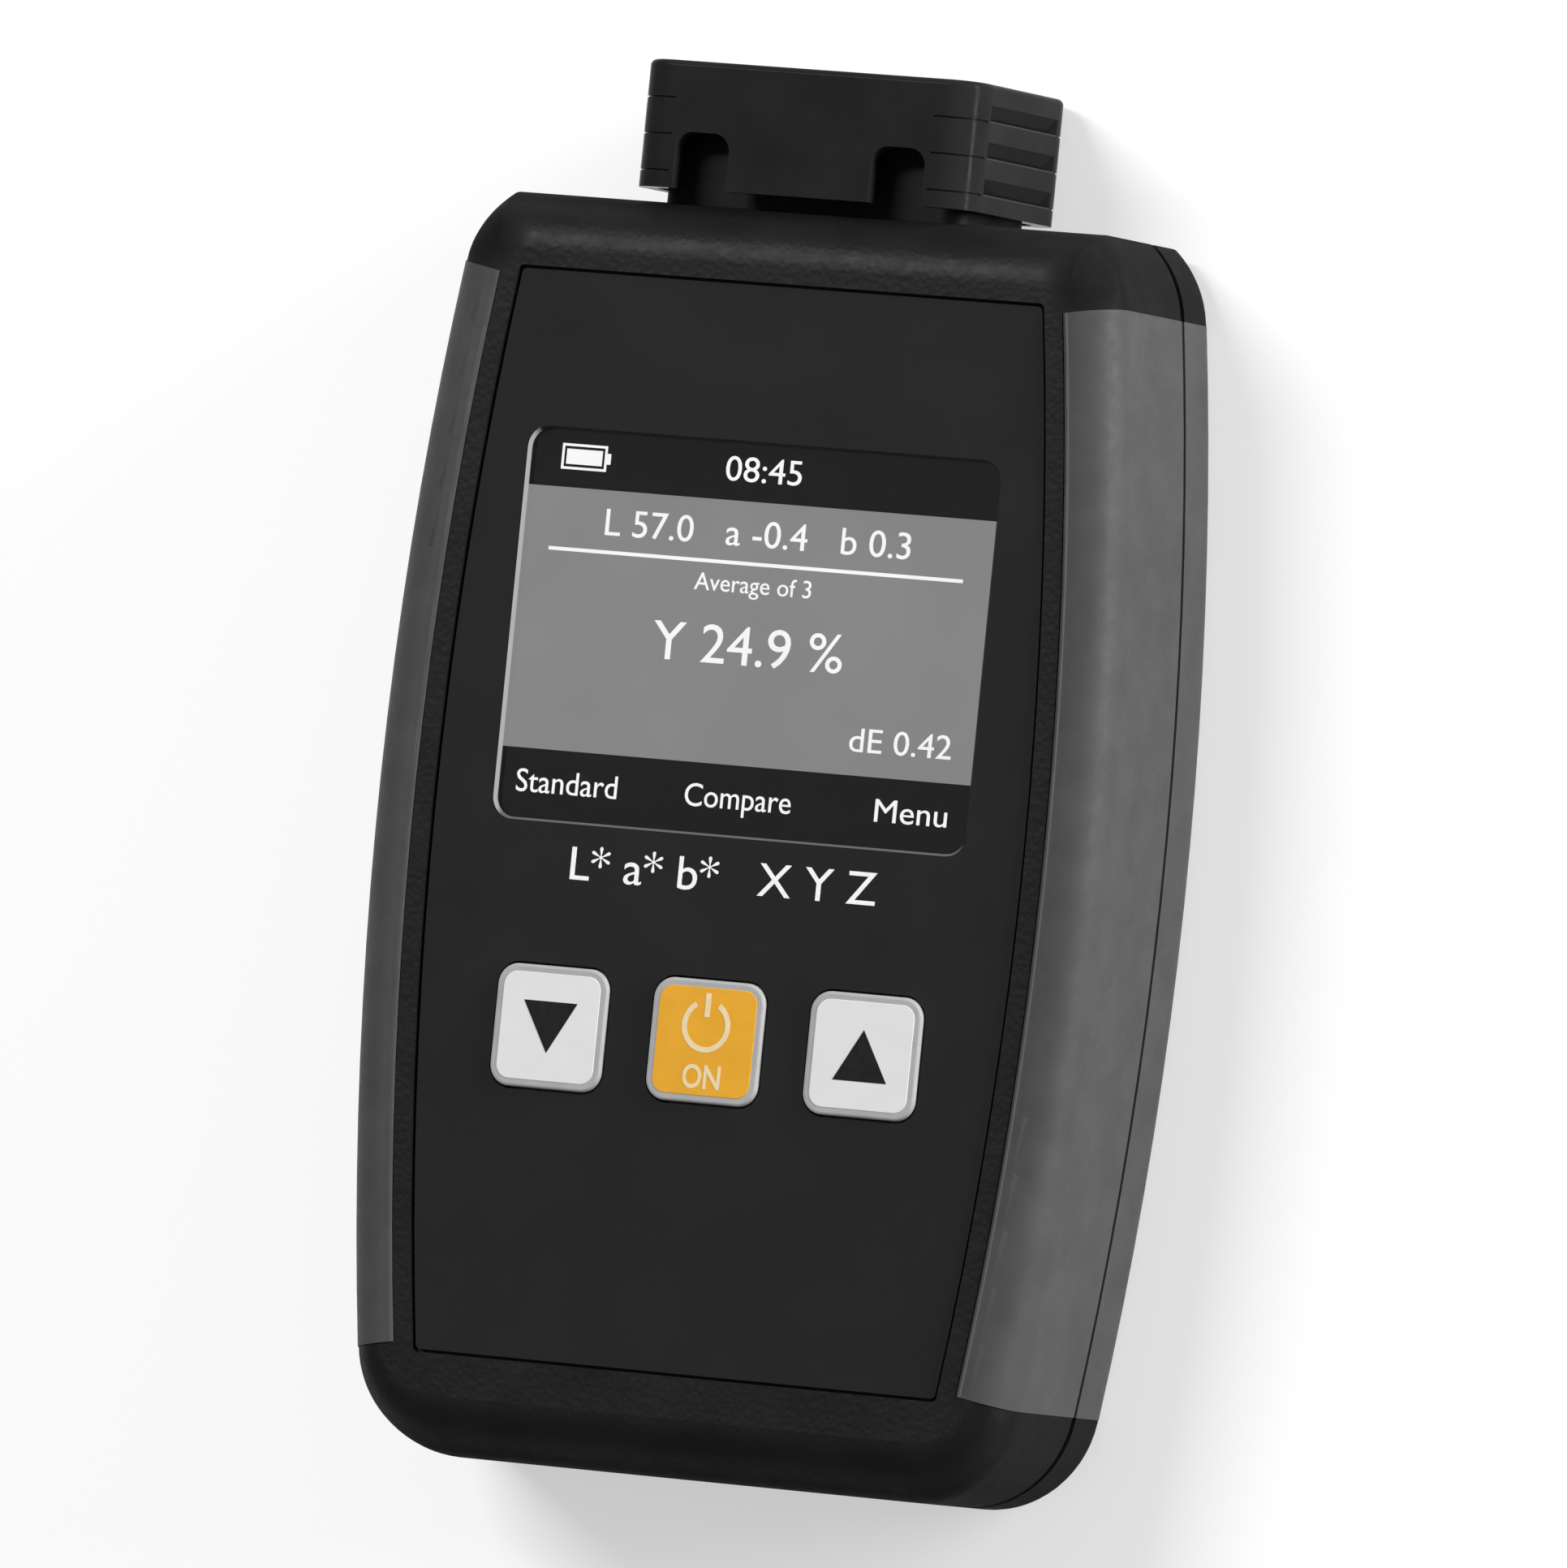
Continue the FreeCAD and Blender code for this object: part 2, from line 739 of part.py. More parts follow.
def board_sockets():
    # One socket for the display's ribbon, one below the board for the sensor's ribbon
    low = board_top + socket_height / 2 - flex_thickness / 2
    turn = (lcd_floor - low) / 2
    mouth_y = screen_y - pane_height / 2 + frame_seat + 2 * flex_tail + turn
    display = block(-socket_width / 2, socket_width / 2, mouth_y, mouth_y + socket_length,
                    board_top, board_top + socket_height)
    sensor = block(-ribbon_width / 2 - flex_tail / 2, ribbon_width / 2 + flex_tail / 2,
                   board_head_y - socket_length, board_head_y, board_floor - socket_height, board_floor)
    return Part.makeCompound([display, sensor])


def sensor_ribbon():
    middle = board_floor - socket_height / 2
    return block(-ribbon_width / 2, ribbon_width / 2, board_head_y, sensor_back_y,
                 middle - flex_thickness / 2, middle + flex_thickness / 2)


def main_board():
    board = block(-board_width / 2, board_width / 2, board_foot_y, board_head_y, board_floor, board_top)
    holes = []
    for x in (-board_screw_x, board_screw_x):
        for y in board_screw_ys:
            holes.append(rod_z(small_screw_diameter + 2 * bore_clearance, x, y, 0, case_depth))
    return board.cut(holes)


def board_screws():
    screws = []
    for x in (-board_screw_x, board_screw_x):
        for y in board_screw_ys:
            head = rod_z(small_head_diameter, x, y, board_floor - small_head_height, board_floor)
            screws.append(head.fuse(rod_z(small_screw_diameter, x, y, board_floor,
                                          board_floor + small_screw_length)))
    return Part.makeCompound(screws)


def processor():
    half = chip_size / 2
    y = belly_y + chip_rise
    return block(-half, half, y - half, y + half, board_floor - chip_height, board_floor)


def tact_switches():
    switches = []
    half = switch_size / 2
    for x in key_xs.values():
        body = block(x - half, x + half, key_y - half, key_y + half, board_top, switch_top)
        bore = plunger_diameter + 2 * plunger_clearance
        floor = switch_top - plunger_depth - plunger_room
        switches.append(body.cut(rod_z(bore, x, key_y, floor, switch_top + overrun)))
    return Part.makeCompound(switches)


def key_button(x):
    # Cap with a rim round its face, a flange behind the front wall and a stem to the switch
    cap = plate(key_size, key_size, key_corner_radius, x, key_y, flange_floor, key_top)
    rim = [edge for edge in cap.Edges if edge.BoundBox.ZMin > key_top - nearness]
    cap = cap.makeFillet(key_edge_round, rim)
    wide = key_size + 2 * key_flange
    flange = plate(wide, wide, key_corner_radius + key_flange, x, key_y, flange_floor, flange_top)
    stem = rod_z(key_stem_diameter, x, key_y, stem_floor, flange_floor)
    return join([cap, flange, stem]).cut(key_face(x, overrun))


def key_face(x, rise):
    size = key_size - 2 * key_rim
    return plate(size, size, key_corner_radius - key_rim, x, key_y, key_top - key_face_inlay, key_top + rise)


def key_plunger(x):
    return rod_z(plunger_diameter, x, key_y, switch_top - plunger_depth, stem_floor)


def measuring_head():
    neck = bar(neck_width, neck_depth, neck_corner_radius, head_height, flange_back_y, neck_end_y)
    flange = bar(flange_width, flange_depth, neck_corner_radius, head_height, flange_back_y, head_flange_y)
    cuts = [rod_y(head_bore, 0, head_height, flange_back_y - overrun, optic_back_y + nearness)]
    cuts.append(rod_y(optic_diameter + 2 * optic_clearance, 0, head_height, optic_back_y, neck_end_y))
    cuts.append(rod_y(ring_diameter + 2 * optic_clearance, 0, head_height,
                      ring_floor_y, neck_end_y + overrun))
    for x in (-head_screw_x, head_screw_x):
        deep = sensor_back_y + small_screw_length + bore_clearance
        cuts.append(rod_y(small_screw_diameter + 2 * screw_fit, x, head_height, sensor_back_y, deep))
    return join([neck, flange]).cut(cuts)


def head_gasket():
    pad = bar(flange_width, flange_depth, neck_corner_radius, head_height, head_flange_y, end_inner_y)
    hole = bar(neck_width + 2 * neck_clearance, neck_depth + 2 * neck_clearance,
               neck_corner_radius + neck_clearance, head_height,
               head_flange_y - overrun, end_inner_y + overrun)
    return pad.cut(hole)


def aperture_ring():
    ring = rod_y(ring_diameter, 0, head_height, ring_floor_y, neck_end_y + ring_proud)
    return ring.cut(rod_y(aperture_diameter, 0, head_height, ring_floor_y - overrun, neck_end_y + overrun))


def optic_window():
    return rod_y(optic_diameter, 0, head_height, optic_back_y, ring_floor_y)


def light_tunnel():
    tube = rod_y(tunnel_diameter, 0, head_height, flange_back_y, flange_back_y + tunnel_length)
    return tube.cut(rod_y(tunnel_bore, 0, head_height, flange_back_y - overrun,
                          flange_back_y + tunnel_length + overrun))


def diffuser_ring():
    front = flange_back_y + tunnel_length - diffuser_drop
    ring = rod_y(head_bore - 2 * optic_clearance, 0, head_height, front - diffuser_thickness, front)
    return ring.cut(rod_y(tunnel_diameter + 2 * optic_clearance, 0, head_height,
                          front - diffuser_thickness - overrun, front + overrun))


def sensor_board():
    half = sensor_board_width / 2
    deep = sensor_board_depth / 2
    board = block(-half, half, sensor_back_y, flange_back_y, head_height - deep, head_height + deep)
    holes = []
    for x in (-head_screw_x, head_screw_x):
        holes.append(rod_y(small_screw_diameter + 2 * bore_clearance, x, head_height,
                           sensor_back_y - overrun, flange_back_y + overrun))
    return board.cut(holes)


def color_sensor():
    half = sensor_size / 2
    return block(-half, half, flange_back_y, flange_back_y + sensor_height,
                 head_height - half, head_height + half)


def ring_leds():
    leds = []
    half = led_length / 2
    radius = led_circle_diameter / 2
    for i in range(led_count):
        led = block(radius - half, radius + half, flange_back_y, flange_back_y + led_height,
                    head_height - half, head_height + half)
        led.rotate(V(0, 0, head_height), V(0, 1, 0), 360 * i / led_count)
        leds.append(led)
    return Part.makeCompound(leds)


def head_screws():
    screws = []
    for x in (-head_screw_x, head_screw_x):
        head = rod_y(small_head_diameter, x, head_height, sensor_back_y - small_head_height, sensor_back_y)
        shank = rod_y(small_screw_diameter, x, head_height, sensor_back_y, sensor_back_y + small_screw_length)
        screws.append(head.fuse(shank))
    return Part.makeCompound(screws)


def cap_slot(x):
    # Slot through front and rear walls, open at the cap's lower edge, rounded at its top
    top = cap_foot_y + slot_height
    body = block(x - slot_width / 2, x + slot_width / 2, cap_foot_y - overrun, top,
                 head_height - cap_depth, head_height + cap_depth)
    ends = [edge for edge in edges_along(body, V(0, 0, 1)) if edge.BoundBox.YMin > top - nearness]
    return body.makeFillet(slot_corner_radius, ends)


def cap_groove(side, number):
    # Finger groove in a side face: deepest at its lower lip, almost level at its upper edge, running out at both ends
    face = side * cap_width / 2
    low = cap_foot_y + groove_first + number * groove_pitch
    high = low + groove_height
    start = head_height - groove_length / 2
    stop = head_height + groove_length / 2
    flare = groove_run_out * overrun / groove_deep

    def at(inset, y, z):
        return V(face - side * inset, y, z)

    across = [at(-overrun, low, start), at(groove_deep, low, start), at(groove_shallow, high, start),
              at(-overrun, high, start), at(-overrun, low, start)]
    scoop = Part.Face(Part.makePolygon(across)).extrude(V(0, 0, groove_length))
    along = [at(-overrun, low, start - flare), at(groove_deep, low, start + groove_run_out),
             at(groove_deep, low, stop - groove_run_out), at(-overrun, low, stop + flare),
             at(-overrun, low, start - flare)]
    return scoop.common(Part.Face(Part.makePolygon(along)).extrude(V(0, groove_height, 0)))


def cap_slit(side, face, number):
    # Fine line round a corner of the cap, level with the lower lip of a finger groove
    high = cap_foot_y + groove_first + number * groove_pitch
    low = high - slit_height
    x0, x1 = sorted((side * (cap_width / 2 - slit_run), side * cap_width))
    z0, z1 = sorted((face * (groove_length / 2 + slit_start), face * cap_depth))
    zone = block(x0, x1, low, high, head_height + z0, head_height + z1)
    core = bar(cap_width - 2 * slit_depth, cap_depth - 2 * slit_depth, cap_corner_radius - slit_depth,
               head_height, low - overrun, high + overrun)
    return zone.cut(core)


def measuring_cap():
    body = bar(cap_width, cap_depth, cap_corner_radius, head_height, cap_foot_y, cap_top_y)
    rim = [edge for edge in body.Edges if edge.BoundBox.YMin > cap_top_y - nearness]
    body = body.makeFillet(cap_edge_round, rim)
    radius = neck_corner_radius + cap_clearance
    cavity = bar(cap_cavity_width, cap_cavity_depth, radius, head_height, cap_foot_y - overrun, cap_ceiling_y)
    body = body.cut(cavity)
    ribs = []
    gap = neck_depth / 2 + cap_clearance
    for x in (-cap_rib_x, cap_rib_x):
        for side in (-1, 1):
            z0, z1 = sorted((head_height + side * gap, head_height + side * (cap_depth - cap_front_wall) / 2))
            ribs.append(block(x - cap_rib_width / 2, x + cap_rib_width / 2,
                              cap_foot_y, cap_ceiling_y + nearness, z0, z1))
    body = join([body] + ribs)
    cuts = [cap_slot(-slot_offset), cap_slot(slot_offset)]
    for side in (-1, 1):
        for number in range(groove_count):
            cuts.append(cap_groove(side, number))
            cuts += [cap_slit(side, face, number) for face in (-1, 1)]
    cuts.append(rod_y(tile_diameter + 2 * tile_clearance, 0, head_height, cap_ceiling_y - overrun, pad_top_y))
    return body.cut(cuts)


def tile_pad():
    return rod_y(tile_diameter, 0, head_height, tile_top_y, pad_top_y)


def reference_tile():
    return rod_y(tile_diameter, 0, head_height, tile_top_y - tile_thickness, tile_top_y)


def all_parts():
    outer = case_body(0, 0, case_depth)
    cavity = case_body(wall, rear_wall, front_inner)
    blank = grip_blank(half_grip + grip_trim)
    pockets = grip_pockets(blank)
    parts = grips(blank)
    parts["front_shell"] = front_shell(outer, cavity, pockets)
    parts["rear_shell"] = rear_shell(outer, cavity, pockets)
    parts["battery_door"] = battery_door(outer)
    for name, x in key_xs.items():
        parts[name + "_button"] = key_button(x)
        parts[name + "_face"] = key_face(x, key_face_proud)
        parts[name + "_plunger"] = key_plunger(x)
    makers = (front_fascia, display_lens, lcd_panel, lcd_frame, lcd_flex, board_sockets, sensor_ribbon,
              main_board, board_screws, processor, tact_switches, battery_cells, contact_plates,
              contact_springs, battery_leads, case_screws, measuring_head, head_gasket, aperture_ring,
              optic_window, light_tunnel, diffuser_ring, sensor_board, color_sensor, ring_leds,
              head_screws, measuring_cap, tile_pad, reference_tile)
    for maker in makers:
        parts[maker.__name__] = maker()
    return parts


os.makedirs("parts", exist_ok=True)
for name, shape in all_parts().items():
    shape.exportStep("parts/" + name + ".step")
    print(name, len(shape.Solids), round(shape.Volume, 1), shape.isValid())
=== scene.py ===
# %% [markdown]
# # A handheld colour meter
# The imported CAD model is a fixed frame: each shell, key, screw and optic already sits where it belongs, in metres.
# One could model the meter again by eye, but then the looks and the moving parts would drift apart.
# So this lesson keeps the CAD shapes, gives each a finish made of nodes, and models only what solids leave out:
# the lit picture behind the lens, the window's rim, the keys' soft edges and the print on keys and fascia.

# %% Load the frame
import json
import math

import bmesh
import bpy
from mathutils import Matrix, Vector


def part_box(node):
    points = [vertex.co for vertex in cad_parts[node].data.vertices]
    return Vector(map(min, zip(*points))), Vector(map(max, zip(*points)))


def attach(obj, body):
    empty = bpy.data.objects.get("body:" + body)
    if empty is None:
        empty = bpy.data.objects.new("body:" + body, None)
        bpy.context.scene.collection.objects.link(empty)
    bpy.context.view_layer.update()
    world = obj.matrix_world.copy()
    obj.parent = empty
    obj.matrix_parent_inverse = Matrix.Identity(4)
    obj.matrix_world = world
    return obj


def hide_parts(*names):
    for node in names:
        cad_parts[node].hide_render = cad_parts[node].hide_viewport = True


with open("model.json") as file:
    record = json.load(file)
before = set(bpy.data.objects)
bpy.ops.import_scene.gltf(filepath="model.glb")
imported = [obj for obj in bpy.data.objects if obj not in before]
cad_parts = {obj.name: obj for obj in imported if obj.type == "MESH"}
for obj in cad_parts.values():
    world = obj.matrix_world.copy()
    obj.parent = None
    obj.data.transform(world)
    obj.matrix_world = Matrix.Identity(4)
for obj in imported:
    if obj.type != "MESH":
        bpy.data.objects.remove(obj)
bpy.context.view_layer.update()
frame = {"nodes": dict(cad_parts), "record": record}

scene = bpy.context.scene
nodes = frame["nodes"]
subparts = frame["record"]["subparts"]
mm = 0.001

# %% [markdown]
# ## The camera
# The photograph looks down on the meter from far away, from its right side and turned by a few degrees.
# A camera can be turned by hand until it looks right, or its three axes can be written down once they are fitted.
# The axes are written here, because a long lens from 2.7 m shows every degree of error in the edges of the case.

# %% Camera
picture_height = 1932
focal_length_pixels = 30000.0
sensor_size = 36.0
camera_place = Vector((1168.106, -73.385, 2432.915)) * mm
camera_right = Vector((0.897253019, 0.098671305, -0.430349850))
camera_up = Vector((-0.077137395, 0.994749774, 0.067251094))
camera_back = Vector((0.434726169, -0.027145180, 0.900153485))

camera_data = bpy.data.cameras.new("camera")
camera_data.sensor_width = sensor_size
camera_data.lens = sensor_size * focal_length_pixels / picture_height
camera = bpy.data.objects.new("camera", camera_data)
camera_axes = Matrix((camera_right, camera_up, camera_back)).transposed()
camera.matrix_world = Matrix.Translation(camera_place) @ camera_axes.to_4x4()
scene.collection.objects.link(camera)
scene.camera = camera
scene.view_settings.view_transform = "Standard"
print("lens in mm:", round(camera_data.lens, 1))

# %% [markdown]
# ## Studio light
# The dark plastics show the light as much as their own colour: the head end has a long soft streak, and the right
# flank is brighter than the front.
# Two softboxes do that, a narrow strip over the head end, to the left, and a low one at the right, and a dim even world
# fills the rest. The strip stands to the left so that the sheet beside the right flank lies in shade and the black
# flank has little white to mirror.
# Each lamp's power follows from its distance, so that its level says how much of a white card's light it gives.

# %% Softboxes and world
def softbox(name, place, backwards, width, height, level):
    lamp = bpy.data.lights.new(name, "AREA")
    lamp.shape = "RECTANGLE"
    lamp.size = width
    lamp.size_y = height
    slant = backwards.normalized().dot(place.normalized())
    lamp.energy = level * math.pi ** 2 * place.length_squared / slant
    holder = bpy.data.objects.new(name, lamp)
    holder.rotation_euler = backwards.to_track_quat("Z", "Y").to_euler()
    holder.location = place
    holder.visible_camera = False
    scene.collection.objects.link(holder)
    print(name, "watts:", round(lamp.energy, 1))


softbox("head_softbox", place=Vector((-0.85, 0.78, 1.45)), backwards=Vector((0.0, 0.78, 1.45)),
        width=1.1, height=0.20, level=0.70)
softbox("right_softbox", place=Vector((1.6, 0.60, 0.26)), backwards=Vector((1.6, 0.60, 0.26)),
        width=1.0, height=0.35, level=1.60)

world_level = 0.25
world = bpy.data.worlds.new("studio")
world.use_nodes = True
background = world.node_tree.nodes["Background"]
background.inputs["Color"].default_value = (world_level, world_level, world_level, 1.0)
scene.world = world

# %% [markdown]
# ## The floor
# The meter lies on a plain white sheet that runs out of sight, a hair below it so that the two don't share a plane.

# %% Sheet shape
floor_half_size = 20.0
floor_drop = 0.05
floor_shape = bmesh.new()
bmesh.ops.create_grid(floor_shape, x_segments=1, y_segments=1, size=floor_half_size)
bmesh.ops.translate(floor_shape, vec=(0.0, 0.0, -floor_drop * mm), verts=floor_shape.verts)
floor_mesh = bpy.data.meshes.new("floor")
floor_shape.to_mesh(floor_mesh)
floor_shape.free()
floor = bpy.data.objects.new("floor", floor_mesh)
scene.collection.objects.link(floor)
print("floor metres across:", 2 * floor_half_size)

# %% [markdown]
# A brighter lamp would whiten the sheet but wash out the meter, so the sheet glows a little instead, only for rays
# from the camera, mirrors and glass. The diffuse part keeps the meter's shadow.

# %% Sheet finish
sheet_tint = 0.55
sheet_roughness = 0.9
sheet_glow = 0.50
sheet = bpy.data.materials.new("white_sheet")
sheet.use_nodes = True
sheet_nodes = sheet.node_tree.nodes
sheet_links = sheet.node_tree.links
sheet_shader = sheet_nodes["Principled BSDF"]
sheet_shader.inputs["Base Color"].default_value = (sheet_tint, sheet_tint, sheet_tint, 1.0)
sheet_shader.inputs["Roughness"].default_value = sheet_roughness
sheet_shader.inputs["Emission Color"].default_value = (1.0, 1.0, 1.0, 1.0)
rays = sheet_nodes.new("ShaderNodeLightPath")
seen = rays.outputs["Is Camera Ray"]
for ray in ("Is Glossy Ray", "Is Transmission Ray"):
    either = sheet_nodes.new("ShaderNodeMath")
    either.operation = "MAXIMUM"
    sheet_links.new(seen, either.inputs[0])
    sheet_links.new(rays.outputs[ray], either.inputs[1])
    seen = either.outputs[0]
glow = sheet_nodes.new("ShaderNodeMath")
glow.operation = "MULTIPLY"
glow.inputs[1].default_value = sheet_glow
sheet_links.new(seen, glow.inputs[0])
sheet_links.new(glow.outputs[0], sheet_shader.inputs["Emission Strength"])
floor_mesh.materials.append(sheet)
print("sheet glow:", sheet_glow)

# %% [markdown]
# ## A kit for finishes
# A real plastic is never one flat colour: its mould leaves grain, its gloss varies, and handling leaves faint marks.
# Image textures could show that, but they need unwrapping and tie the part to files.
# Noise in the piece's own coordinates needs neither, so each finish below is built from the same few steps.
# The first helpers start a finish, add a node to it, and do the two sums that come up most.

# %% Nodes
def start_finish(name, sockets):
    made = bpy.data.materials.new(name)
    made.use_nodes = True
    shader = made.node_tree.nodes["Principled BSDF"]
    for socket, value in sockets.items():
        shader.inputs[socket].default_value = value
    return made


def add_node(made, kind, inputs, **settings):
    added = made.node_tree.nodes.new("ShaderNode" + kind)
    for setting, value in settings.items():
        setattr(added, setting, value)
    for socket, value in inputs.items():
        if isinstance(value, bpy.types.NodeSocket):
            made.node_tree.links.new(value, added.inputs[socket])
        else:
            added.inputs[socket].default_value = value
    return added


def combined(made, operation, first, second):
    return add_node(made, "Math", {0: first, 1: second}, operation=operation).outputs["Value"]


def mapped(made, value, start, end, low, high):
    inputs = {"Value": value, "From Min": start, "From Max": end, "To Min": low, "To Max": high}
    return add_node(made, "MapRange", inputs).outputs["Result"]


def piece_place(made):
    return add_node(made, "TexCoord", {}).outputs["Object"]


def distance_from(made, where, point):
    return add_node(made, "VectorMath", {0: where, 1: point * mm}, operation="DISTANCE").outputs["Value"]


print("slots to dress:", len({row["material_slot"] for row in subparts}))

# %% [markdown]
# A pattern has a size in millimetres, and may be stretched along an axis. Speckle is plain noise, for clouds and tooth.
# Pebbles are the smooth cells of a Voronoi pattern, for grain and foam.
# A noise keeps near its middle, so the values that steer a colour or a gloss are taken from a narrower stretch.

# %% Patterns
gloss_noise = (0.3, 0.7)
cloud_noise = (0.35, 0.65)


def pattern_place(made, size, stretch):
    spread = [1.0 / (size * mm * factor) for factor in stretch]
    return add_node(made, "Mapping", {"Vector": piece_place(made), "Scale": spread}).outputs["Vector"]


def speckle(made, size, detail=3.0, stretch=(1.0, 1.0, 1.0)):
    where = pattern_place(made, size, stretch)
    return add_node(made, "TexNoise", {"Vector": where, "Scale": 1.0, "Detail": detail}).outputs["Fac"]


def pebbles(made, size):
    where = pattern_place(made, size, (1.0, 1.0, 1.0))
    inputs = {"Vector": where, "Scale": 1.0, "Smoothness": 0.6}
    return add_node(made, "TexVoronoi", inputs, feature="SMOOTH_F1").outputs["Distance"]


print("noise used for gloss:", gloss_noise, "and for clouds:", cloud_noise)

# %% [markdown]
# The last helpers let a pattern drive colour, roughness or relief, and put the finish on every piece of a slot.
# Reliefs add up: a second one takes the first one's normal as its ground.

# %% Effects
def give(made, socket, source):
    shader = made.node_tree.nodes["Principled BSDF"]
    made.node_tree.links.new(source, shader.inputs[socket])


def tint(made, pattern, dark, pale, stretch=cloud_noise, socket="Base Color"):
    ramp = add_node(made, "ValToRGB", {"Fac": pattern})
    first, last = ramp.color_ramp.elements
    first.position, last.position = stretch
    first.color, last.color = (*dark, 1.0), (*pale, 1.0)
    give(made, socket, ramp.outputs["Color"])


def gloss(made, pattern, low, high):
    give(made, "Roughness", mapped(made, pattern, *gloss_noise, low, high))


def relief(made, pattern, depth):
    inputs = {"Height": pattern, "Strength": 1.0, "Distance": depth * mm}
    under = made.node_tree.nodes["Principled BSDF"].inputs["Normal"]
    if under.is_linked:
        inputs["Normal"] = under.links[0].from_socket
    give(made, "Normal", add_node(made, "Bump", inputs).outputs["Normal"])


def dress(made, slot):
    dressed = [row["node"] for row in subparts if row["material_slot"] == slot]
    for name in dressed:
        mesh = nodes[name].data
        mesh.materials.clear()
        mesh.materials.append(made)
    print(made.name, "on", ", ".join(dressed))


def grey(level, blue=1.0):
    return (level, level, level * blue)


# %% [markdown]
# ## Black case
# Both shells and the battery door are black plastic from a mould with an etched leather grain.
# The grain shows only where a lamp glances off it, as on the roll above the fascia.
# Smooth Voronoi pebbles give the rounded islands of that grain and a finer noise breaks them up.
# The mould is etched deeper on its walls than on its front, so the height on the piece sets how dull the plastic is,
# and handling has scuffed the two corners at the head end, where the distance from the corner does the same.

# %% Case black
wall_top = 24.0
front_foot = 26.8
head_corners = (Vector((-37.5, 57.4, 27.1)), Vector((37.5, 57.4, 27.1)))
scuff_core = 2.5
scuff_reach = 6.5
front_roughness = 0.41
wall_roughness = 0.88
roughness_spread = 0.08
cool = 1.03

case_black = start_finish("case_black", {"IOR": 1.23})
tint(case_black, speckle(case_black, 9.0), grey(0.0060, cool), grey(0.0084, cool))
case_place = piece_place(case_black)
case_height = add_node(case_black, "SeparateXYZ", {"Vector": case_place}).outputs["Z"]
dullness = mapped(case_black, case_height, wall_top * mm, front_foot * mm, wall_roughness, front_roughness)
for corner in head_corners:
    away = distance_from(case_black, case_place, corner)
    scuff = mapped(case_black, away, scuff_core * mm, scuff_reach * mm, wall_roughness, front_roughness)
    dullness = combined(case_black, "MAXIMUM", dullness, scuff)
uneven = mapped(case_black, speckle(case_black, 2.0), *gloss_noise, 0.0, roughness_spread)
give(case_black, "Roughness", combined(case_black, "ADD", dullness, uneven))
relief(case_black, pebbles(case_black, 0.70), 0.034)
relief(case_black, speckle(case_black, 0.22), 0.007)
dress(case_black, "case_black")

# %% [markdown]
# ## Soft grips
# The side grips are grey rubber moulded over both shells. Rubber has almost no gloss and a fine even tooth.
# A flat grey would look like paint, so a fine speckle pales it in places.
# A pale line is painted along the inner edge of the right grips as a highlight on that edge. That edge is an arc, so
# the distance from the arc's centre says where the line is. The left grips lie nearer to that centre and stay clear of
# it.

# %% Grip rubber
grip_edge_radius = 431.74
grip_edge_centre = Vector((-393.24, -6.4, 0.0))
highlight_inset = 0.61
highlight_core = 0.05
highlight_fade = 0.20
rubber_cloud = 0.17
whole_ramp = (0.0, 1.0)

grip_rubber = start_finish("grip_rubber", {"IOR": 1.34})
flatten = {0: piece_place(grip_rubber), 1: (1.0, 1.0, 0.0)}
in_plan = add_node(grip_rubber, "VectorMath", flatten, operation="MULTIPLY").outputs["Vector"]
reach = distance_from(grip_rubber, in_plan, grip_edge_centre)
past_line = combined(grip_rubber, "SUBTRACT", reach, (grip_edge_radius + highlight_inset) * mm)
off_line = add_node(grip_rubber, "Math", {0: past_line}, operation="ABSOLUTE").outputs["Value"]
# Painted highlight: a pale line along the inner edge of the right grips.
painted_edge_highlight = mapped(grip_rubber, off_line, highlight_core * mm, highlight_fade * mm, 1.0, 0.0)
rubber_clouds = mapped(grip_rubber, speckle(grip_rubber, 5.0, 8.0), *cloud_noise, 0.0, rubber_cloud)
highlight_and_clouds = combined(grip_rubber, "MAXIMUM", painted_edge_highlight, rubber_clouds)
tint(grip_rubber, highlight_and_clouds, grey(0.045), grey(0.102), whole_ramp)
gloss(grip_rubber, speckle(grip_rubber, 1.2), 0.56, 0.66)
relief(grip_rubber, speckle(grip_rubber, 0.30), 0.012)
dress(grip_rubber, "grip_grey")

# %% [markdown]
# ## Fascia film
# The front panel is a printed film with a very fine matte texture, smoother than the case around it.
# Its print comes later as pieces of its own, so the film needs only a fine tooth and a little cloudiness in its gloss.

# %% Fascia film
fascia_film = start_finish("fascia_film", {"IOR": 1.20})
tint(fascia_film, speckle(fascia_film, 14.0), grey(0.0110, cool), grey(0.0130, cool))
gloss(fascia_film, speckle(fascia_film, 6.0), 0.52, 0.58)
relief(fascia_film, speckle(fascia_film, 0.16, 2.0), 0.004)
dress(fascia_film, "fascia_black")

# %% [markdown]
# ## Keys
# Each key is a grey satin rim with an inlaid face, two white and one amber. The faces are smooth, not glossy.
# One finish with different colours serves rims and faces, because they come from the same kind of mould.

# %% Key plastics
def key_plastic(name, dark, pale):
    made = start_finish(name, {"IOR": 1.36})
    tint(made, speckle(made, 3.0, 2.0), dark, pale)
    gloss(made, speckle(made, 1.5), 0.46, 0.56)
    relief(made, speckle(made, 0.25), 0.003)
    return made


key_rim = key_plastic("key_rim", grey(0.360), grey(0.385))
key_white = key_plastic("key_white", grey(0.700), grey(0.717))
key_amber = key_plastic("key_amber", (0.730, 0.345, 0.010), (0.765, 0.370, 0.014))
dress(key_rim, "key_rim")
dress(key_white, "key_white")
dress(key_amber, "key_amber")

# %% [markdown]
# ## Lens and optic window
# Clear pieces are glass to the renderer: light goes through and bends. Faint smears keep them from looking absent.
# The smears are only in the roughness, so the picture behind stays sharp.

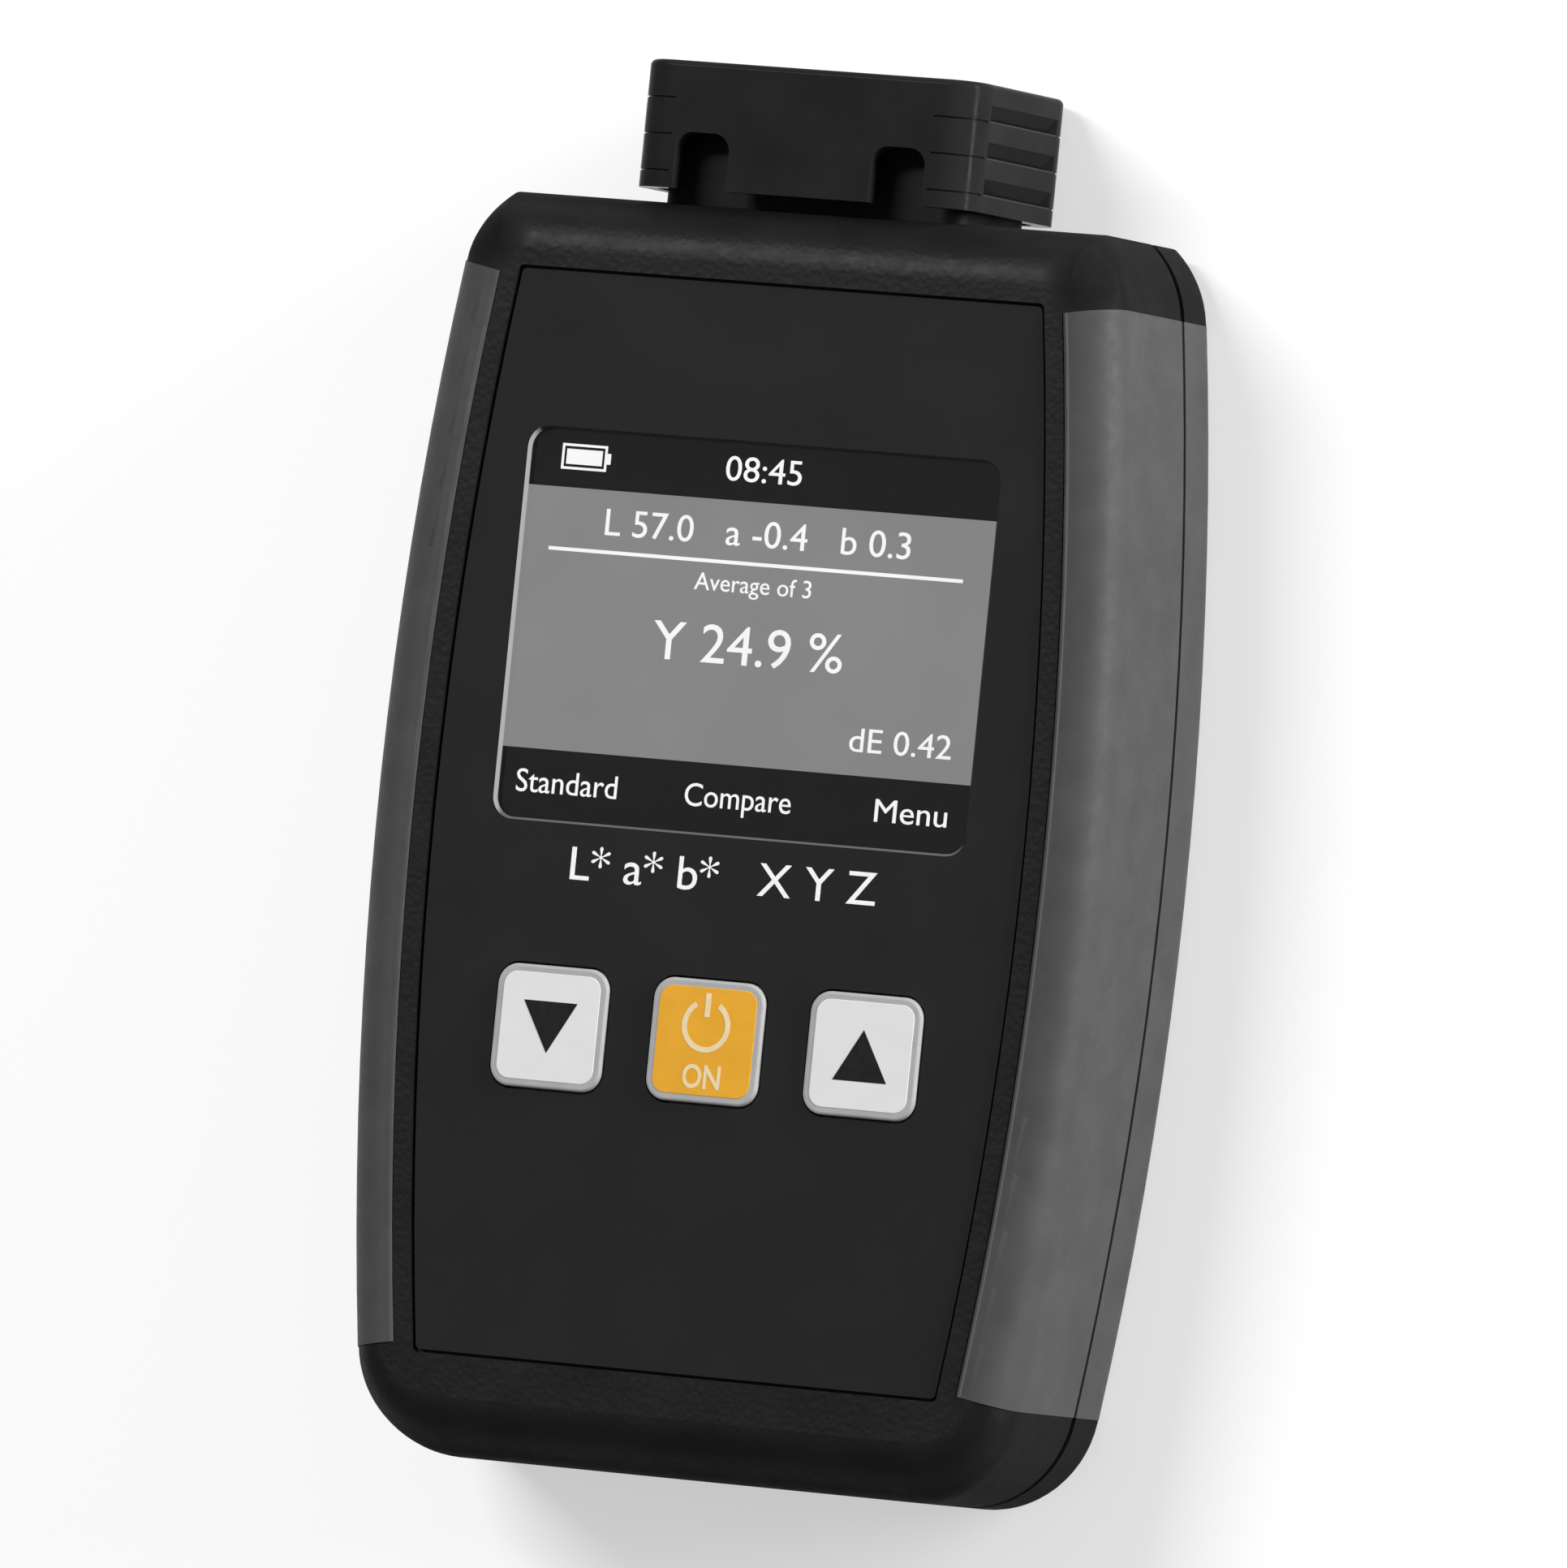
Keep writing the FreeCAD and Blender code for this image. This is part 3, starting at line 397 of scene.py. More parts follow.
# %% Clear lens
clear = (1.0, 1.0, 1.0, 1.0)
lens_clear = start_finish("lens_clear", {"IOR": 1.33, "Transmission Weight": 1.0, "Base Color": clear})
gloss(lens_clear, speckle(lens_clear, 7.0, 4.0, (1.0, 2.5, 1.0)), 0.03, 0.06)
dress(lens_clear, "lens_clear")

# %% [markdown]
# ## The cap
# The measuring cap is black plastic laid down in layers, faintly banded across its height, with duller patches where
# layers fused badly. The floors of the finger grooves in its sides are painted darker as shade, and the lips under them
# are painted pale as a highlight.
# Painting that by hand would need a texture. The grooves lie at known heights, so the remainder of the height divided
# by their pitch finds all three at once, and the distance from the side face tells a groove's floor from its lip.
# First come the places that the masks are cut from: the height, and the offset from the cap's middle without its sign.

# %% Places on the cap
cap_low, cap_high = (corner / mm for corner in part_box("measuring_cap"))
cap_middle = (cap_low + cap_high) / 2
side_face = cap_high.x - cap_middle.x

cap_plastic = start_finish("cap_plastic", {"IOR": 1.07})
cap_place = piece_place(cap_plastic)
cap_height = add_node(cap_plastic, "SeparateXYZ", {"Vector": cap_place}).outputs["Y"]
centring = {0: cap_place, 1: cap_middle * mm}
from_middle = add_node(cap_plastic, "VectorMath", centring, operation="SUBTRACT").outputs["Vector"]
one_quarter = add_node(cap_plastic, "VectorMath", {0: from_middle}, operation="ABSOLUTE").outputs["Vector"]
cap_axes = add_node(cap_plastic, "SeparateXYZ", {"Vector": one_quarter}).outputs
print("cap's side face from its middle:", round(side_face, 2))

# %% [markdown]
# A mask is 1 where it holds and 0 elsewhere, so the product of several masks holds where all of them do.

# %% Cap grooves as masks
groove_first = 2.0
groove_pitch = 4.05
groove_count = 3
groove_length = 17.4
lip_width = 0.16
lip_depth = 0.02
floor_start = 0.09
floor_end = 1.2
first_lip = cap_low.y + groove_first
zone_top = first_lip + (groove_count - 0.5) * groove_pitch


def above(made, value, limit):
    return combined(made, "GREATER_THAN", value, limit * mm)


def below(made, value, limit):
    return combined(made, "LESS_THAN", value, limit * mm)


def all_of(made, masks):
    kept = masks[0]
    for mask in masks[1:]:
        kept = combined(made, "MULTIPLY", kept, mask)
    return kept


grip_zone = all_of(cap_plastic, [
    below(cap_plastic, cap_axes["Z"], groove_length / 2),
    above(cap_plastic, cap_height, first_lip - lip_width),
    below(cap_plastic, cap_height, zone_top)])
from_start = combined(cap_plastic, "SUBTRACT", cap_height, (first_lip - groove_pitch) * mm)
in_step = combined(cap_plastic, "MODULO", from_start, groove_pitch * mm)
# Painted highlight: a pale band just under the lower lip of each groove.
painted_lip_highlight = all_of(cap_plastic, [
    grip_zone,
    above(cap_plastic, cap_axes["X"], side_face - lip_depth),
    above(cap_plastic, in_step, groove_pitch - lip_width)])
# Painted shade: the floors of the grooves are darkened.
painted_floor_shade = all_of(cap_plastic, [
    grip_zone,
    above(cap_plastic, cap_axes["X"], side_face - floor_end),
    below(cap_plastic, cap_axes["X"], side_face - floor_start)])
print("lips start at", [round(first_lip + number * groove_pitch, 2) for number in range(groove_count)])

# %% [markdown]
# Plain plastic, floors painted dark as shade and lips painted pale as a highlight are three places on one ramp from
# dark to pale. Bands stretched along two axes give the layers, and a wide noise in the roughness gives the patches.

# %% Cap plastic
clean_low = 0.24
clean_high = 0.36
cap_clouds = mapped(cap_plastic, speckle(cap_plastic, 6.0, 5.0), *cloud_noise, clean_low, clean_high)
# The groove floors are painted darker as shade, and the lips paler as a highlight.
clouds_less_floor_shade = combined(cap_plastic, "SUBTRACT", cap_clouds, painted_floor_shade)
clouds_shade_and_highlight = combined(cap_plastic, "MAXIMUM", clouds_less_floor_shade, painted_lip_highlight)
tint(cap_plastic, clouds_shade_and_highlight, grey(0.0080), grey(0.038), whole_ramp)
gloss(cap_plastic, speckle(cap_plastic, 4.5, 6.0, (1.0, 0.5, 1.0)), 0.08, 0.22)
relief(cap_plastic, speckle(cap_plastic, 0.8, 2.0, (40.0, 1.0, 40.0)), 0.010)
relief(cap_plastic, speckle(cap_plastic, 3.0, 2.0), 0.030)
dress(cap_plastic, "cap_black")

# %% [markdown]
# ## Measuring head
# The neck is matte black so that no stray light gets to the sensor. Its gasket is a cut rubber sheet, and the ring
# round the aperture is turned aluminium, dyed dark.
# The ring's turning marks are fine bands along the axis of the head.

# %% Neck, gasket and aperture ring
head_black = start_finish("head_black", {"IOR": 1.20})
tint(head_black, speckle(head_black, 5.0), grey(0.0045), grey(0.0065))
gloss(head_black, speckle(head_black, 1.5), 0.50, 0.62)
relief(head_black, speckle(head_black, 0.25), 0.008)
dress(head_black, "head_black")

gasket_black = start_finish("gasket_black", {"IOR": 1.45})
tint(gasket_black, speckle(gasket_black, 1.0, 6.0), grey(0.015), grey(0.026))
gloss(gasket_black, speckle(gasket_black, 1.0), 0.68, 0.82)
relief(gasket_black, speckle(gasket_black, 0.2), 0.015)
dress(gasket_black, "gasket_black")

ring_metal = start_finish("ring_metal", {"Metallic": 1.0})
tint(ring_metal, speckle(ring_metal, 2.0), grey(0.26), grey(0.33))
gloss(ring_metal, speckle(ring_metal, 0.8), 0.28, 0.42)
relief(ring_metal, speckle(ring_metal, 0.12, 2.0, (30.0, 1.0, 30.0)), 0.003)
dress(ring_metal, "ring_metal")

# %% [markdown]
# ## Optics and reference tile
# The lamps shine through an opal ring, and the cap holds a white ceramic tile on a foam pad for calibration.
# Opal and ceramic are both pale, so only their gloss and a slight waviness tell them apart.

# %% Opal, lamps, tile and pad
diffuser_white = start_finish("diffuser_white", {"IOR": 1.49, "Subsurface Weight": 0.2})
tint(diffuser_white, speckle(diffuser_white, 2.0), (0.76, 0.76, 0.74), (0.80, 0.80, 0.78))
gloss(diffuser_white, speckle(diffuser_white, 1.0), 0.45, 0.6)
relief(diffuser_white, speckle(diffuser_white, 0.3), 0.004)
dress(diffuser_white, "diffuser_white")

led_yellow = start_finish("led_yellow", {"IOR": 1.5, "Coat Weight": 0.5, "Coat Roughness": 0.1})
tint(led_yellow, speckle(led_yellow, 0.35, 5.0), (0.66, 0.52, 0.07), (0.80, 0.68, 0.15))
gloss(led_yellow, speckle(led_yellow, 0.6), 0.3, 0.5)
relief(led_yellow, speckle(led_yellow, 0.15), 0.006)
dress(led_yellow, "led_yellow")

tile_white = start_finish("tile_white", {"IOR": 1.55})
tint(tile_white, speckle(tile_white, 4.0), (0.82, 0.82, 0.81), (0.86, 0.86, 0.85))
gloss(tile_white, speckle(tile_white, 2.0), 0.10, 0.18)
relief(tile_white, speckle(tile_white, 2.5), 0.006)
dress(tile_white, "tile_white")

pad_grey = start_finish("pad_grey", {"IOR": 1.4})
tint(pad_grey, pebbles(pad_grey, 0.5), grey(0.22), grey(0.33), (0.1, 0.6))
gloss(pad_grey, speckle(pad_grey, 0.8), 0.8, 0.92)
relief(pad_grey, pebbles(pad_grey, 0.5), 0.06)
dress(pad_grey, "pad_grey")

# %% [markdown]
# ## Metal small parts
# Screws are plated steel, and the battery's springs and plates are nickel-plated strip with a rolling direction.
# Both are metals with a roughness that varies, the strip with scratches drawn out along one axis.

# %% Screws and springs
screw_steel = start_finish("screw_steel", {"Metallic": 1.0})
tint(screw_steel, speckle(screw_steel, 0.9, 5.0), grey(0.42), grey(0.54))
gloss(screw_steel, speckle(screw_steel, 0.5), 0.26, 0.42)
relief(screw_steel, speckle(screw_steel, 0.18), 0.004)
dress(screw_steel, "screw_steel")

spring_steel = start_finish("spring_steel", {"Metallic": 1.0})
tint(spring_steel, speckle(spring_steel, 1.5, 4.0), (0.54, 0.54, 0.51), (0.64, 0.64, 0.61))
gloss(spring_steel, speckle(spring_steel, 0.2, 3.0, (1.0, 1.0, 12.0)), 0.20, 0.38)
relief(spring_steel, speckle(spring_steel, 0.12, 2.0, (1.0, 1.0, 20.0)), 0.002)
dress(spring_steel, "spring_steel")

# %% [markdown]
# ## Cells
# The four cells have a dark printed wrap with a pale band near one end, as plain cells do.
# The band follows the cell's own length: the coordinate along it goes through a stepped ramp, with no print to copy.

# %% Cell wrap
bare_can = (0.42, 0.42, 0.40)
wrap_bands = ((0.0, bare_can), (0.05, (0.020, 0.024, 0.032)), (0.62, (0.36, 0.37, 0.38)),
              (0.65, (0.030, 0.075, 0.120)), (0.95, bare_can))
cell_low, cell_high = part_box("battery_cells")
cell_wrap = start_finish("cell_wrap", {"IOR": 1.5})
along = add_node(cell_wrap, "SeparateXYZ", {"Vector": piece_place(cell_wrap)}).outputs["Y"]
share = mapped(cell_wrap, along, cell_low.y, cell_high.y, 0.0, 1.0)
wrap_ramp = add_node(cell_wrap, "ValToRGB", {"Fac": share})
wrap_ramp.color_ramp.interpolation = "CONSTANT"
for element, (position, colour) in zip(wrap_ramp.color_ramp.elements, wrap_bands):
    element.position = position
    element.color = (*colour, 1.0)
for position, colour in wrap_bands[2:]:
    wrap_ramp.color_ramp.elements.new(position).color = (*colour, 1.0)
give(cell_wrap, "Base Color", wrap_ramp.outputs["Color"])
gloss(cell_wrap, speckle(cell_wrap, 2.0), 0.22, 0.34)
relief(cell_wrap, speckle(cell_wrap, 1.2), 0.006)
dress(cell_wrap, "cell_wrap")

# %% [markdown]
# ## Boards and moulded inner parts
# Inside are green boards, amber ribbons, cream sockets, a white frame and black chips.
# They show only through the open battery bay or in a cut-away, but a part that is taken apart still needs them.
# One helper for plain moulded parts is enough, with colour and gloss as its differences.

# %% Inner parts
def inner_plastic(slot, dark, pale, gloss_range, tooth):
    made = start_finish(slot, {"IOR": 1.46})
    tint(made, speckle(made, 2.5, 5.0), dark, pale)
    gloss(made, speckle(made, 1.0), *gloss_range)
    relief(made, speckle(made, tooth), 0.006)
    dress(made, slot)


inner_plastic("board_green", (0.012, 0.105, 0.045), (0.022, 0.145, 0.065), (0.30, 0.42), 0.8)
inner_plastic("frame_white", (0.66, 0.66, 0.64), (0.71, 0.71, 0.69), (0.45, 0.55), 0.3)
inner_plastic("flex_amber", (0.48, 0.20, 0.03), (0.58, 0.26, 0.05), (0.18, 0.28), 1.2)
inner_plastic("socket_cream", (0.56, 0.52, 0.41), (0.64, 0.60, 0.48), (0.45, 0.58), 0.3)
inner_plastic("chip_black", grey(0.016), grey(0.024), (0.42, 0.58), 0.12)
inner_plastic("plunger_black", grey(0.024), grey(0.034), (0.40, 0.52), 0.25)
inner_plastic("lead_red", (0.36, 0.012, 0.012), (0.46, 0.022, 0.020), (0.30, 0.40), 0.5)

# %% [markdown]
# ## Pieces of our own
# What the solids leave out is made with bmesh. Every such piece ends the same way: doubles are merged, normals turned
# outwards, and the mesh gets its finish and the body that it moves with.
# Many of the pieces are plates with rounded corners, so those have a helper: a cube whose upright edges are bevelled.

# %% Piece kit
merge_distance = 0.0005
corner_segments = 6


def finish_piece(shape, name, made, body):
    bmesh.ops.remove_doubles(shape, verts=shape.verts, dist=merge_distance * mm)
    bmesh.ops.recalc_face_normals(shape, faces=shape.faces)
    mesh = bpy.data.meshes.new(name)
    shape.to_mesh(mesh)
    shape.free()
    mesh.materials.append(made)
    piece = bpy.data.objects.new(name, mesh)
    scene.collection.objects.link(piece)
    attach(piece, body)
    print(name, "faces:", len(mesh.polygons))
    return piece


def rounded_plate(left, right, bottom, top, low, high, corner):
    shape = bmesh.new()
    bmesh.ops.create_cube(shape, size=1.0)
    size = Vector((right - left, top - bottom, high - low)) * mm
    middle = Vector((left + right, bottom + top, low + high)) * (mm / 2)
    bmesh.ops.scale(shape, vec=size, verts=shape.verts)
    bmesh.ops.translate(shape, vec=middle, verts=shape.verts)
    upright = [edge for edge in shape.edges if abs(edge.verts[0].co.z - edge.verts[1].co.z) > size.z / 2]
    bmesh.ops.bevel(shape, geom=upright, offset=corner * mm, affect="EDGES", segments=corner_segments, profile=0.5,
                    material=-1)
    return shape


def drawn_up(shape, height):
    raised = bmesh.ops.extrude_face_region(shape, geom=list(shape.faces))["geom"]
    lifted = [item for item in raised if isinstance(item, bmesh.types.BMVert)]
    bmesh.ops.translate(shape, vec=(0.0, 0.0, height * mm), verts=lifted)


# %% [markdown]
# ## The display
# A real display is a flat panel that glows through its pixels, under a clear lens.
# One could paint the picture on a texture, but then it would need an image. Thin plates and letters, each with its
# own glow, give sharp edges at any distance.
# The panel is modelled a little thinner than its CAD block, and the picture lies in the room that this leaves.

# %% Display panel
panel_low, panel_high = (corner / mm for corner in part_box("lcd_panel"))
picture_room = 0.15
picture_gap = 0.05
letter_thickness = 0.05
panel_corner = 0.8
picture_low = panel_high.z - picture_room
picture_high = panel_high.z - picture_gap
letters_low = picture_high - letter_thickness

panel_glass = start_finish("panel_glass", {"IOR": 1.5})
tint(panel_glass, speckle(panel_glass, 4.0), grey(0.010), grey(0.014))
gloss(panel_glass, speckle(panel_glass, 2.0), 0.15, 0.25)
panel = finish_piece(
    rounded_plate(panel_low.x, panel_high.x, panel_low.y, panel_high.y, panel_low.z, picture_low, panel_corner),
    "display_panel", panel_glass, "case")
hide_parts("lcd_panel")

# %% [markdown]
# The picture has a dark bar at the top and bottom and a grey field between them.
# A backlight is never quite even, so each glow varies by a few parts in a hundred over the panel.

# %% Bars and field
screen_black = (0.004, 0.004, 0.004, 1.0)
unevenness = 0.03


def screen_light(name, level):
    sockets = {"Base Color": screen_black, "Emission Strength": 1.0, "Specular IOR Level": 0.0}
    made = start_finish(name, sockets)
    dim, bright = grey(level * (1 - unevenness)), grey(level * (1 + unevenness))
    tint(made, speckle(made, 16.0, 2.0), dim, bright, socket="Emission Color")
    gloss(made, speckle(made, 4.0), 0.35, 0.45)
    return made


screen_dark = screen_light("screen_dark", 0.0055)
screen_grey = screen_light("screen_grey", 0.238)
screen_white = screen_light("screen_white", 0.96)
bar_top_edge = 29.84
bar_bottom_edge = 0.78
bar_corner = 0.02
picture_rows = (("screen_bar_top", bar_top_edge, panel_high.y, screen_dark),
                ("screen_field", bar_bottom_edge, bar_top_edge, screen_grey),
                ("screen_bar_bottom", panel_low.y, bar_bottom_edge, screen_dark))
for name, bottom, top, made in picture_rows:
    shape = rounded_plate(panel_low.x, panel_high.x, bottom, top, picture_low, letters_low, bar_corner)
    finish_piece(shape, name, made, "case")

# %% [markdown]
# ## Lettering
# Letters can be pasted as images or typed as text objects. Text objects give real outlines, and each one is made a
# mesh before it is put in its place, so that the finished piece sits at the origin like every other.
# Each line is given the height of its capitals and its whole width, and the mesh is scaled to that width.

# %% Lettering kit
capital_height = 0.682
curve_steps = 4


def letters(words, height, width, thickness, bold=0.0):
    text = bpy.data.curves.new("letters", "FONT")
    text.body = words
    text.size = height * mm / capital_height
    text.extrude = thickness * mm / 2
    text.offset = bold * mm
    text.resolution_u = curve_steps
    holder = bpy.data.objects.new("letters", text)
    scene.collection.objects.link(holder)
    mesh = bpy.data.meshes.new_from_object(holder.evaluated_get(bpy.context.evaluated_depsgraph_get()))
    bpy.data.objects.remove(holder)
    shape = bmesh.new()
    shape.from_mesh(mesh)
    natural = max(vert.co.x for vert in shape.verts) - min(vert.co.x for vert in shape.verts)
    bmesh.ops.scale(shape, vec=(width * mm / natural, 1.0, 1.0), verts=shape.verts)
    print(words, "drawn out by", round(width * mm / natural, 2))
    return shape


def set_letters(shape, anchor, base, low, align):
    left = min(vert.co.x for vert in shape.verts)
    right = max(vert.co.x for vert in shape.verts)
    under = min(vert.co.z for vert in shape.verts)
    start = {"left": left, "centre": (left + right) / 2, "right": right}[align]
    bmesh.ops.translate(shape, vec=(anchor * mm - start, base * mm, low * mm - under), verts=shape.verts)
    return shape


# %% [markdown]
# The screen shows an ordinary reading: a clock, a colour in three numbers, a rule, a note, the lightness in percent and
# a difference, with three soft keys below. Every line is a generic stand-in of the length that such a screen has.
# Each row gives the piece, its words, the height and width, the anchor and base line, and how it is aligned.

# %% Screen words
screen_words = (
    ("screen_clock", "08:45", 2.7, 9.3, -0.5, 32.0, "centre"),
    ("screen_values", "L 57.0   a -0.4   b 0.3", 2.9, 37.4, -0.5, 24.9, "centre"),
    ("screen_note", "Average of 3", 1.9, 14.3, -0.5, 19.75, "centre"),
    ("screen_reading", "Y 24.9 %", 4.2, 23.3, -0.4, 11.8, "centre"),
    ("screen_difference", "dE 0.42", 2.6, 12.4, 25.5, 3.4, "right"),
    ("screen_key_left", "Standard", 2.5, 12.4, -27.0, -4.05, "left"),
    ("screen_key_middle", "Compare", 2.5, 13.0, 0.25, -4.05, "centre"),
    ("screen_key_right", "Menu", 2.5, 8.8, 25.8, -4.05, "right"),
)
for name, words, height, width, anchor, base, align in screen_words:
    shape = letters(words, height, width, letter_thickness)
    set_letters(shape, anchor, base, letters_low, align)
    finish_piece(shape, name, screen_white, "case")

# %% [markdown]
# The rule is a thin plate. The battery sign is one face that is inset twice: the first inset leaves its outline, the
# second leaves a gap, which is deleted, and what stays is drawn up into a thin solid. Its nub is a plate again.

# %% Rule and battery sign
rule_left, rule_right = -25.9, 24.9
rule_bottom, rule_top = 22.8, 23.2
rule_corner = 0.05
rule = rounded_plate(rule_left, rule_right, rule_bottom, rule_top, letters_low, picture_high, rule_corner)
finish_piece(rule, "screen_rule", screen_white, "case")

sign_width, sign_height = 5.55, 2.85
sign_middle = Vector((-22.6, 33.25, letters_low))
sign_line = 0.28
sign_gap = 0.30
sign = bmesh.new()
bmesh.ops.create_grid(sign, x_segments=1, y_segments=1, size=0.5)
bmesh.ops.scale(sign, vec=(sign_width * mm, sign_height * mm, 1.0), verts=sign.verts)
bmesh.ops.translate(sign, vec=sign_middle * mm, verts=sign.verts)
core = list(sign.faces)
for thickness in (sign_line, sign_gap):
    ring_of_faces = bmesh.ops.inset_region(sign, faces=core, thickness=thickness * mm, use_boundary=True,
                                           use_even_offset=True)["faces"]
bmesh.ops.delete(sign, geom=ring_of_faces, context="FACES")
drawn_up(sign, letter_thickness)
finish_piece(sign, "screen_battery", screen_white, "case")

nub_left, nub_right = -19.8, -19.35
nub_bottom, nub_top = 32.65, 33.85
nub_corner = 0.08
nub = rounded_plate(nub_left, nub_right, nub_bottom, nub_top, letters_low, picture_high, nub_corner)
finish_piece(nub, "screen_battery_nub", screen_white, "case")

# %% [markdown]
# ## The window's rim
# The opening in the fascia has a slanted edge, and a thin bright line is painted along its left and lower side as a
# highlight, by a glow in the rim. The solid has that slant already, but in the film's own dull black.
# A face with rounded corners that is inset and pushed down at once is a slanted frame of the same size. Its middle is
# taken out, the edge that is left is drawn down to line the cut, and the whole gets a little thickness.

# %% Window rim shape
lens_low, lens_high = (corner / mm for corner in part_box("display_lens"))
fascia_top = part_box("front_fascia")[1].z / mm
lens_margin = 2.0
rim_slant = 0.2
rim_lap = 0.03
rim_thickness = 0.02
window_corner = 2.3
window_corner_segments = 8

rim = bmesh.new()
bmesh.ops.create_grid(rim, x_segments=1, y_segments=1, size=0.5)
rim_size = lens_high - lens_low - Vector((2, 2, 0)) * (lens_margin - rim_slant - rim_lap)
rim_middle = (lens_low + lens_high) / 2
rim_middle.z = fascia_top + rim_lap
bmesh.ops.scale(rim, vec=(rim_size.x * mm, rim_size.y * mm, 1.0), verts=rim.verts)
bmesh.ops.translate(rim, vec=rim_middle * mm, verts=rim.verts)
bmesh.ops.bevel(rim, geom=list(rim.verts), offset=(window_corner + rim_slant) * mm, affect="VERTICES",
                segments=window_corner_segments, profile=0.5, material=-1)
opening = list(rim.faces)
bmesh.ops.inset_region(rim, faces=opening, thickness=(rim_slant + rim_lap) * mm, depth=-rim_slant * mm,
                       use_boundary=True, use_even_offset=True)
cut_edges = list(opening[0].edges)
bmesh.ops.delete(rim, geom=opening, context="FACES_ONLY")
lining = bmesh.ops.extrude_edge_only(rim, edges=cut_edges)["geom"]
lining_foot = [item for item in lining if isinstance(item, bmesh.types.BMVert)]
lining_drop = fascia_top - rim_slant - lens_high.z
bmesh.ops.translate(rim, vec=(0.0, 0.0, -lining_drop * mm), verts=lining_foot)
bmesh.ops.recalc_face_normals(rim, faces=rim.faces)
bmesh.ops.solidify(rim, geom=list(rim.faces), thickness=rim_thickness * mm)
rim_heights = [vert.co.z / mm for vert in rim.verts]
print("rim from", round(min(rim_heights), 3), "to", round(max(rim_heights), 3), "lens top", round(lens_high.z, 3))

# %% [markdown]
# The rim is dark satin plastic. The painted highlight glows beside the rim's left and lower edges, so the coordinates X
# and Y, each narrowed to the stretch beside its edge, set the glow.

# %% Window rim finish
rim_glow_start = 0.3
rim_glow_end = 1.2
left_rim_highlight = 0.40
lower_rim_highlight = 0.12
left_edge = lens_low.x + lens_margin
lower_edge = lens_low.y + lens_margin

rim_plastic = start_finish("rim_plastic", {"IOR": 1.3, "Emission Strength": 1.0})
tint(rim_plastic, speckle(rim_plastic, 3.0), grey(0.010), grey(0.014))
gloss(rim_plastic, speckle(rim_plastic, 1.0), 0.45, 0.60)
rim_axes = add_node(rim_plastic, "SeparateXYZ", {"Vector": piece_place(rim_plastic)}).outputs
rim_highlights = []
# Painted highlight: the rim glows beside its left and lower edges.
for axis, edge, level in (("X", left_edge, left_rim_highlight), ("Y", lower_edge, lower_rim_highlight)):
    rim_highlights.append(mapped(rim_plastic, rim_axes[axis], (edge + rim_glow_start) * mm, (edge + rim_glow_end) * mm, level, 0.0))
give(rim_plastic, "Emission Color", combined(rim_plastic, "MAXIMUM", *rim_highlights))
finish_piece(rim, "window_rim", rim_plastic, "case")

# %% [markdown]
# ## Key inlays
# Each key's face is a separate inlay with a softened edge, printed on top. The inlay is made a little lower than its
# solid, so that the ink has room within the solid's height.

# %% Key inlays
ink_thickness = 0.02
ink_room = 0.03
inlay_corner = 1.55
inlay_soft_edge = 0.06
soft_edge_segments = 3
inlay_tops = {}
inlay_finishes = (("key_down", key_white, "key_white"), ("key_ok", key_amber, "key_amber"),
                  ("key_up", key_white, "key_white"))
for key, made, slot in inlay_finishes:
    low, high = (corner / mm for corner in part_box(key + "_face"))
    level = high.z - ink_room
    shape = rounded_plate(low.x, high.x, low.y, high.y, low.z, level, inlay_corner)
    upper = [edge for edge in shape.edges if min(vert.co.z for vert in edge.verts) > (level - ink_thickness) * mm]
    bmesh.ops.bevel(shape, geom=upper, offset=inlay_soft_edge * mm, affect="EDGES", segments=soft_edge_segments,
                    profile=0.5, material=-1)
    inlay = finish_piece(shape, key + "_inlay", made, key)
    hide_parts(key + "_face")
    inlay_tops[key] = Vector(((low.x + high.x) / 2, (low.y + high.y) / 2, level))

# %% [markdown]
# ## Print on the keys and the fascia
# The keys carry plain signs: a triangle down, a triangle up, and the common power ring over a short word.
# Ink is a few hundredths of a millimetre thick, so each sign is a thin solid that stands on its key and moves with it.

# %% Printing inks
def ink(name, ior, dark, pale):
    made = start_finish(name, {"IOR": ior})
    tint(made, speckle(made, 0.8, 5.0), dark, pale)
    gloss(made, speckle(made, 0.5), 0.45, 0.6)
    return made


ink_black = ink("ink_black", 1.2, grey(0.008), grey(0.012))
ink_pale = ink("ink_pale", 1.45, (0.74, 0.60, 0.36), (0.80, 0.66, 0.41))
ink_white = ink("ink_white", 1.45, grey(0.86), grey(0.92))
print("inks:", ink_black.name, ink_pale.name, ink_white.name)

# %% [markdown]
# A triangle is a circle of three corners, scaled to its width and height and drawn up by the ink's thickness.

# %% Triangles
triangle_width = 6.6
triangle_height = 5.7
for key, way in (("key_down", -1.0), ("key_up", 1.0)):
    shape = bmesh.new()
    bmesh.ops.create_circle(shape, cap_ends=True, segments=3, radius=1.0)
    tip = max(vert.co.y for vert in shape.verts)
    foot = min(vert.co.y for vert in shape.verts)
    width = max(vert.co.x for vert in shape.verts) * 2
    stretch = (triangle_width * mm / width, way * triangle_height * mm / (tip - foot), 1.0)
    bmesh.ops.translate(shape, vec=(0.0, -(tip + foot) / 2, 0.0), verts=shape.verts)
    bmesh.ops.scale(shape, vec=stretch, verts=shape.verts)
    bmesh.ops.translate(shape, vec=inlay_tops[key] * mm, verts=shape.verts)
    drawn_up(shape, ink_thickness)
    finish_piece(shape, key + "_sign", ink_black, key)

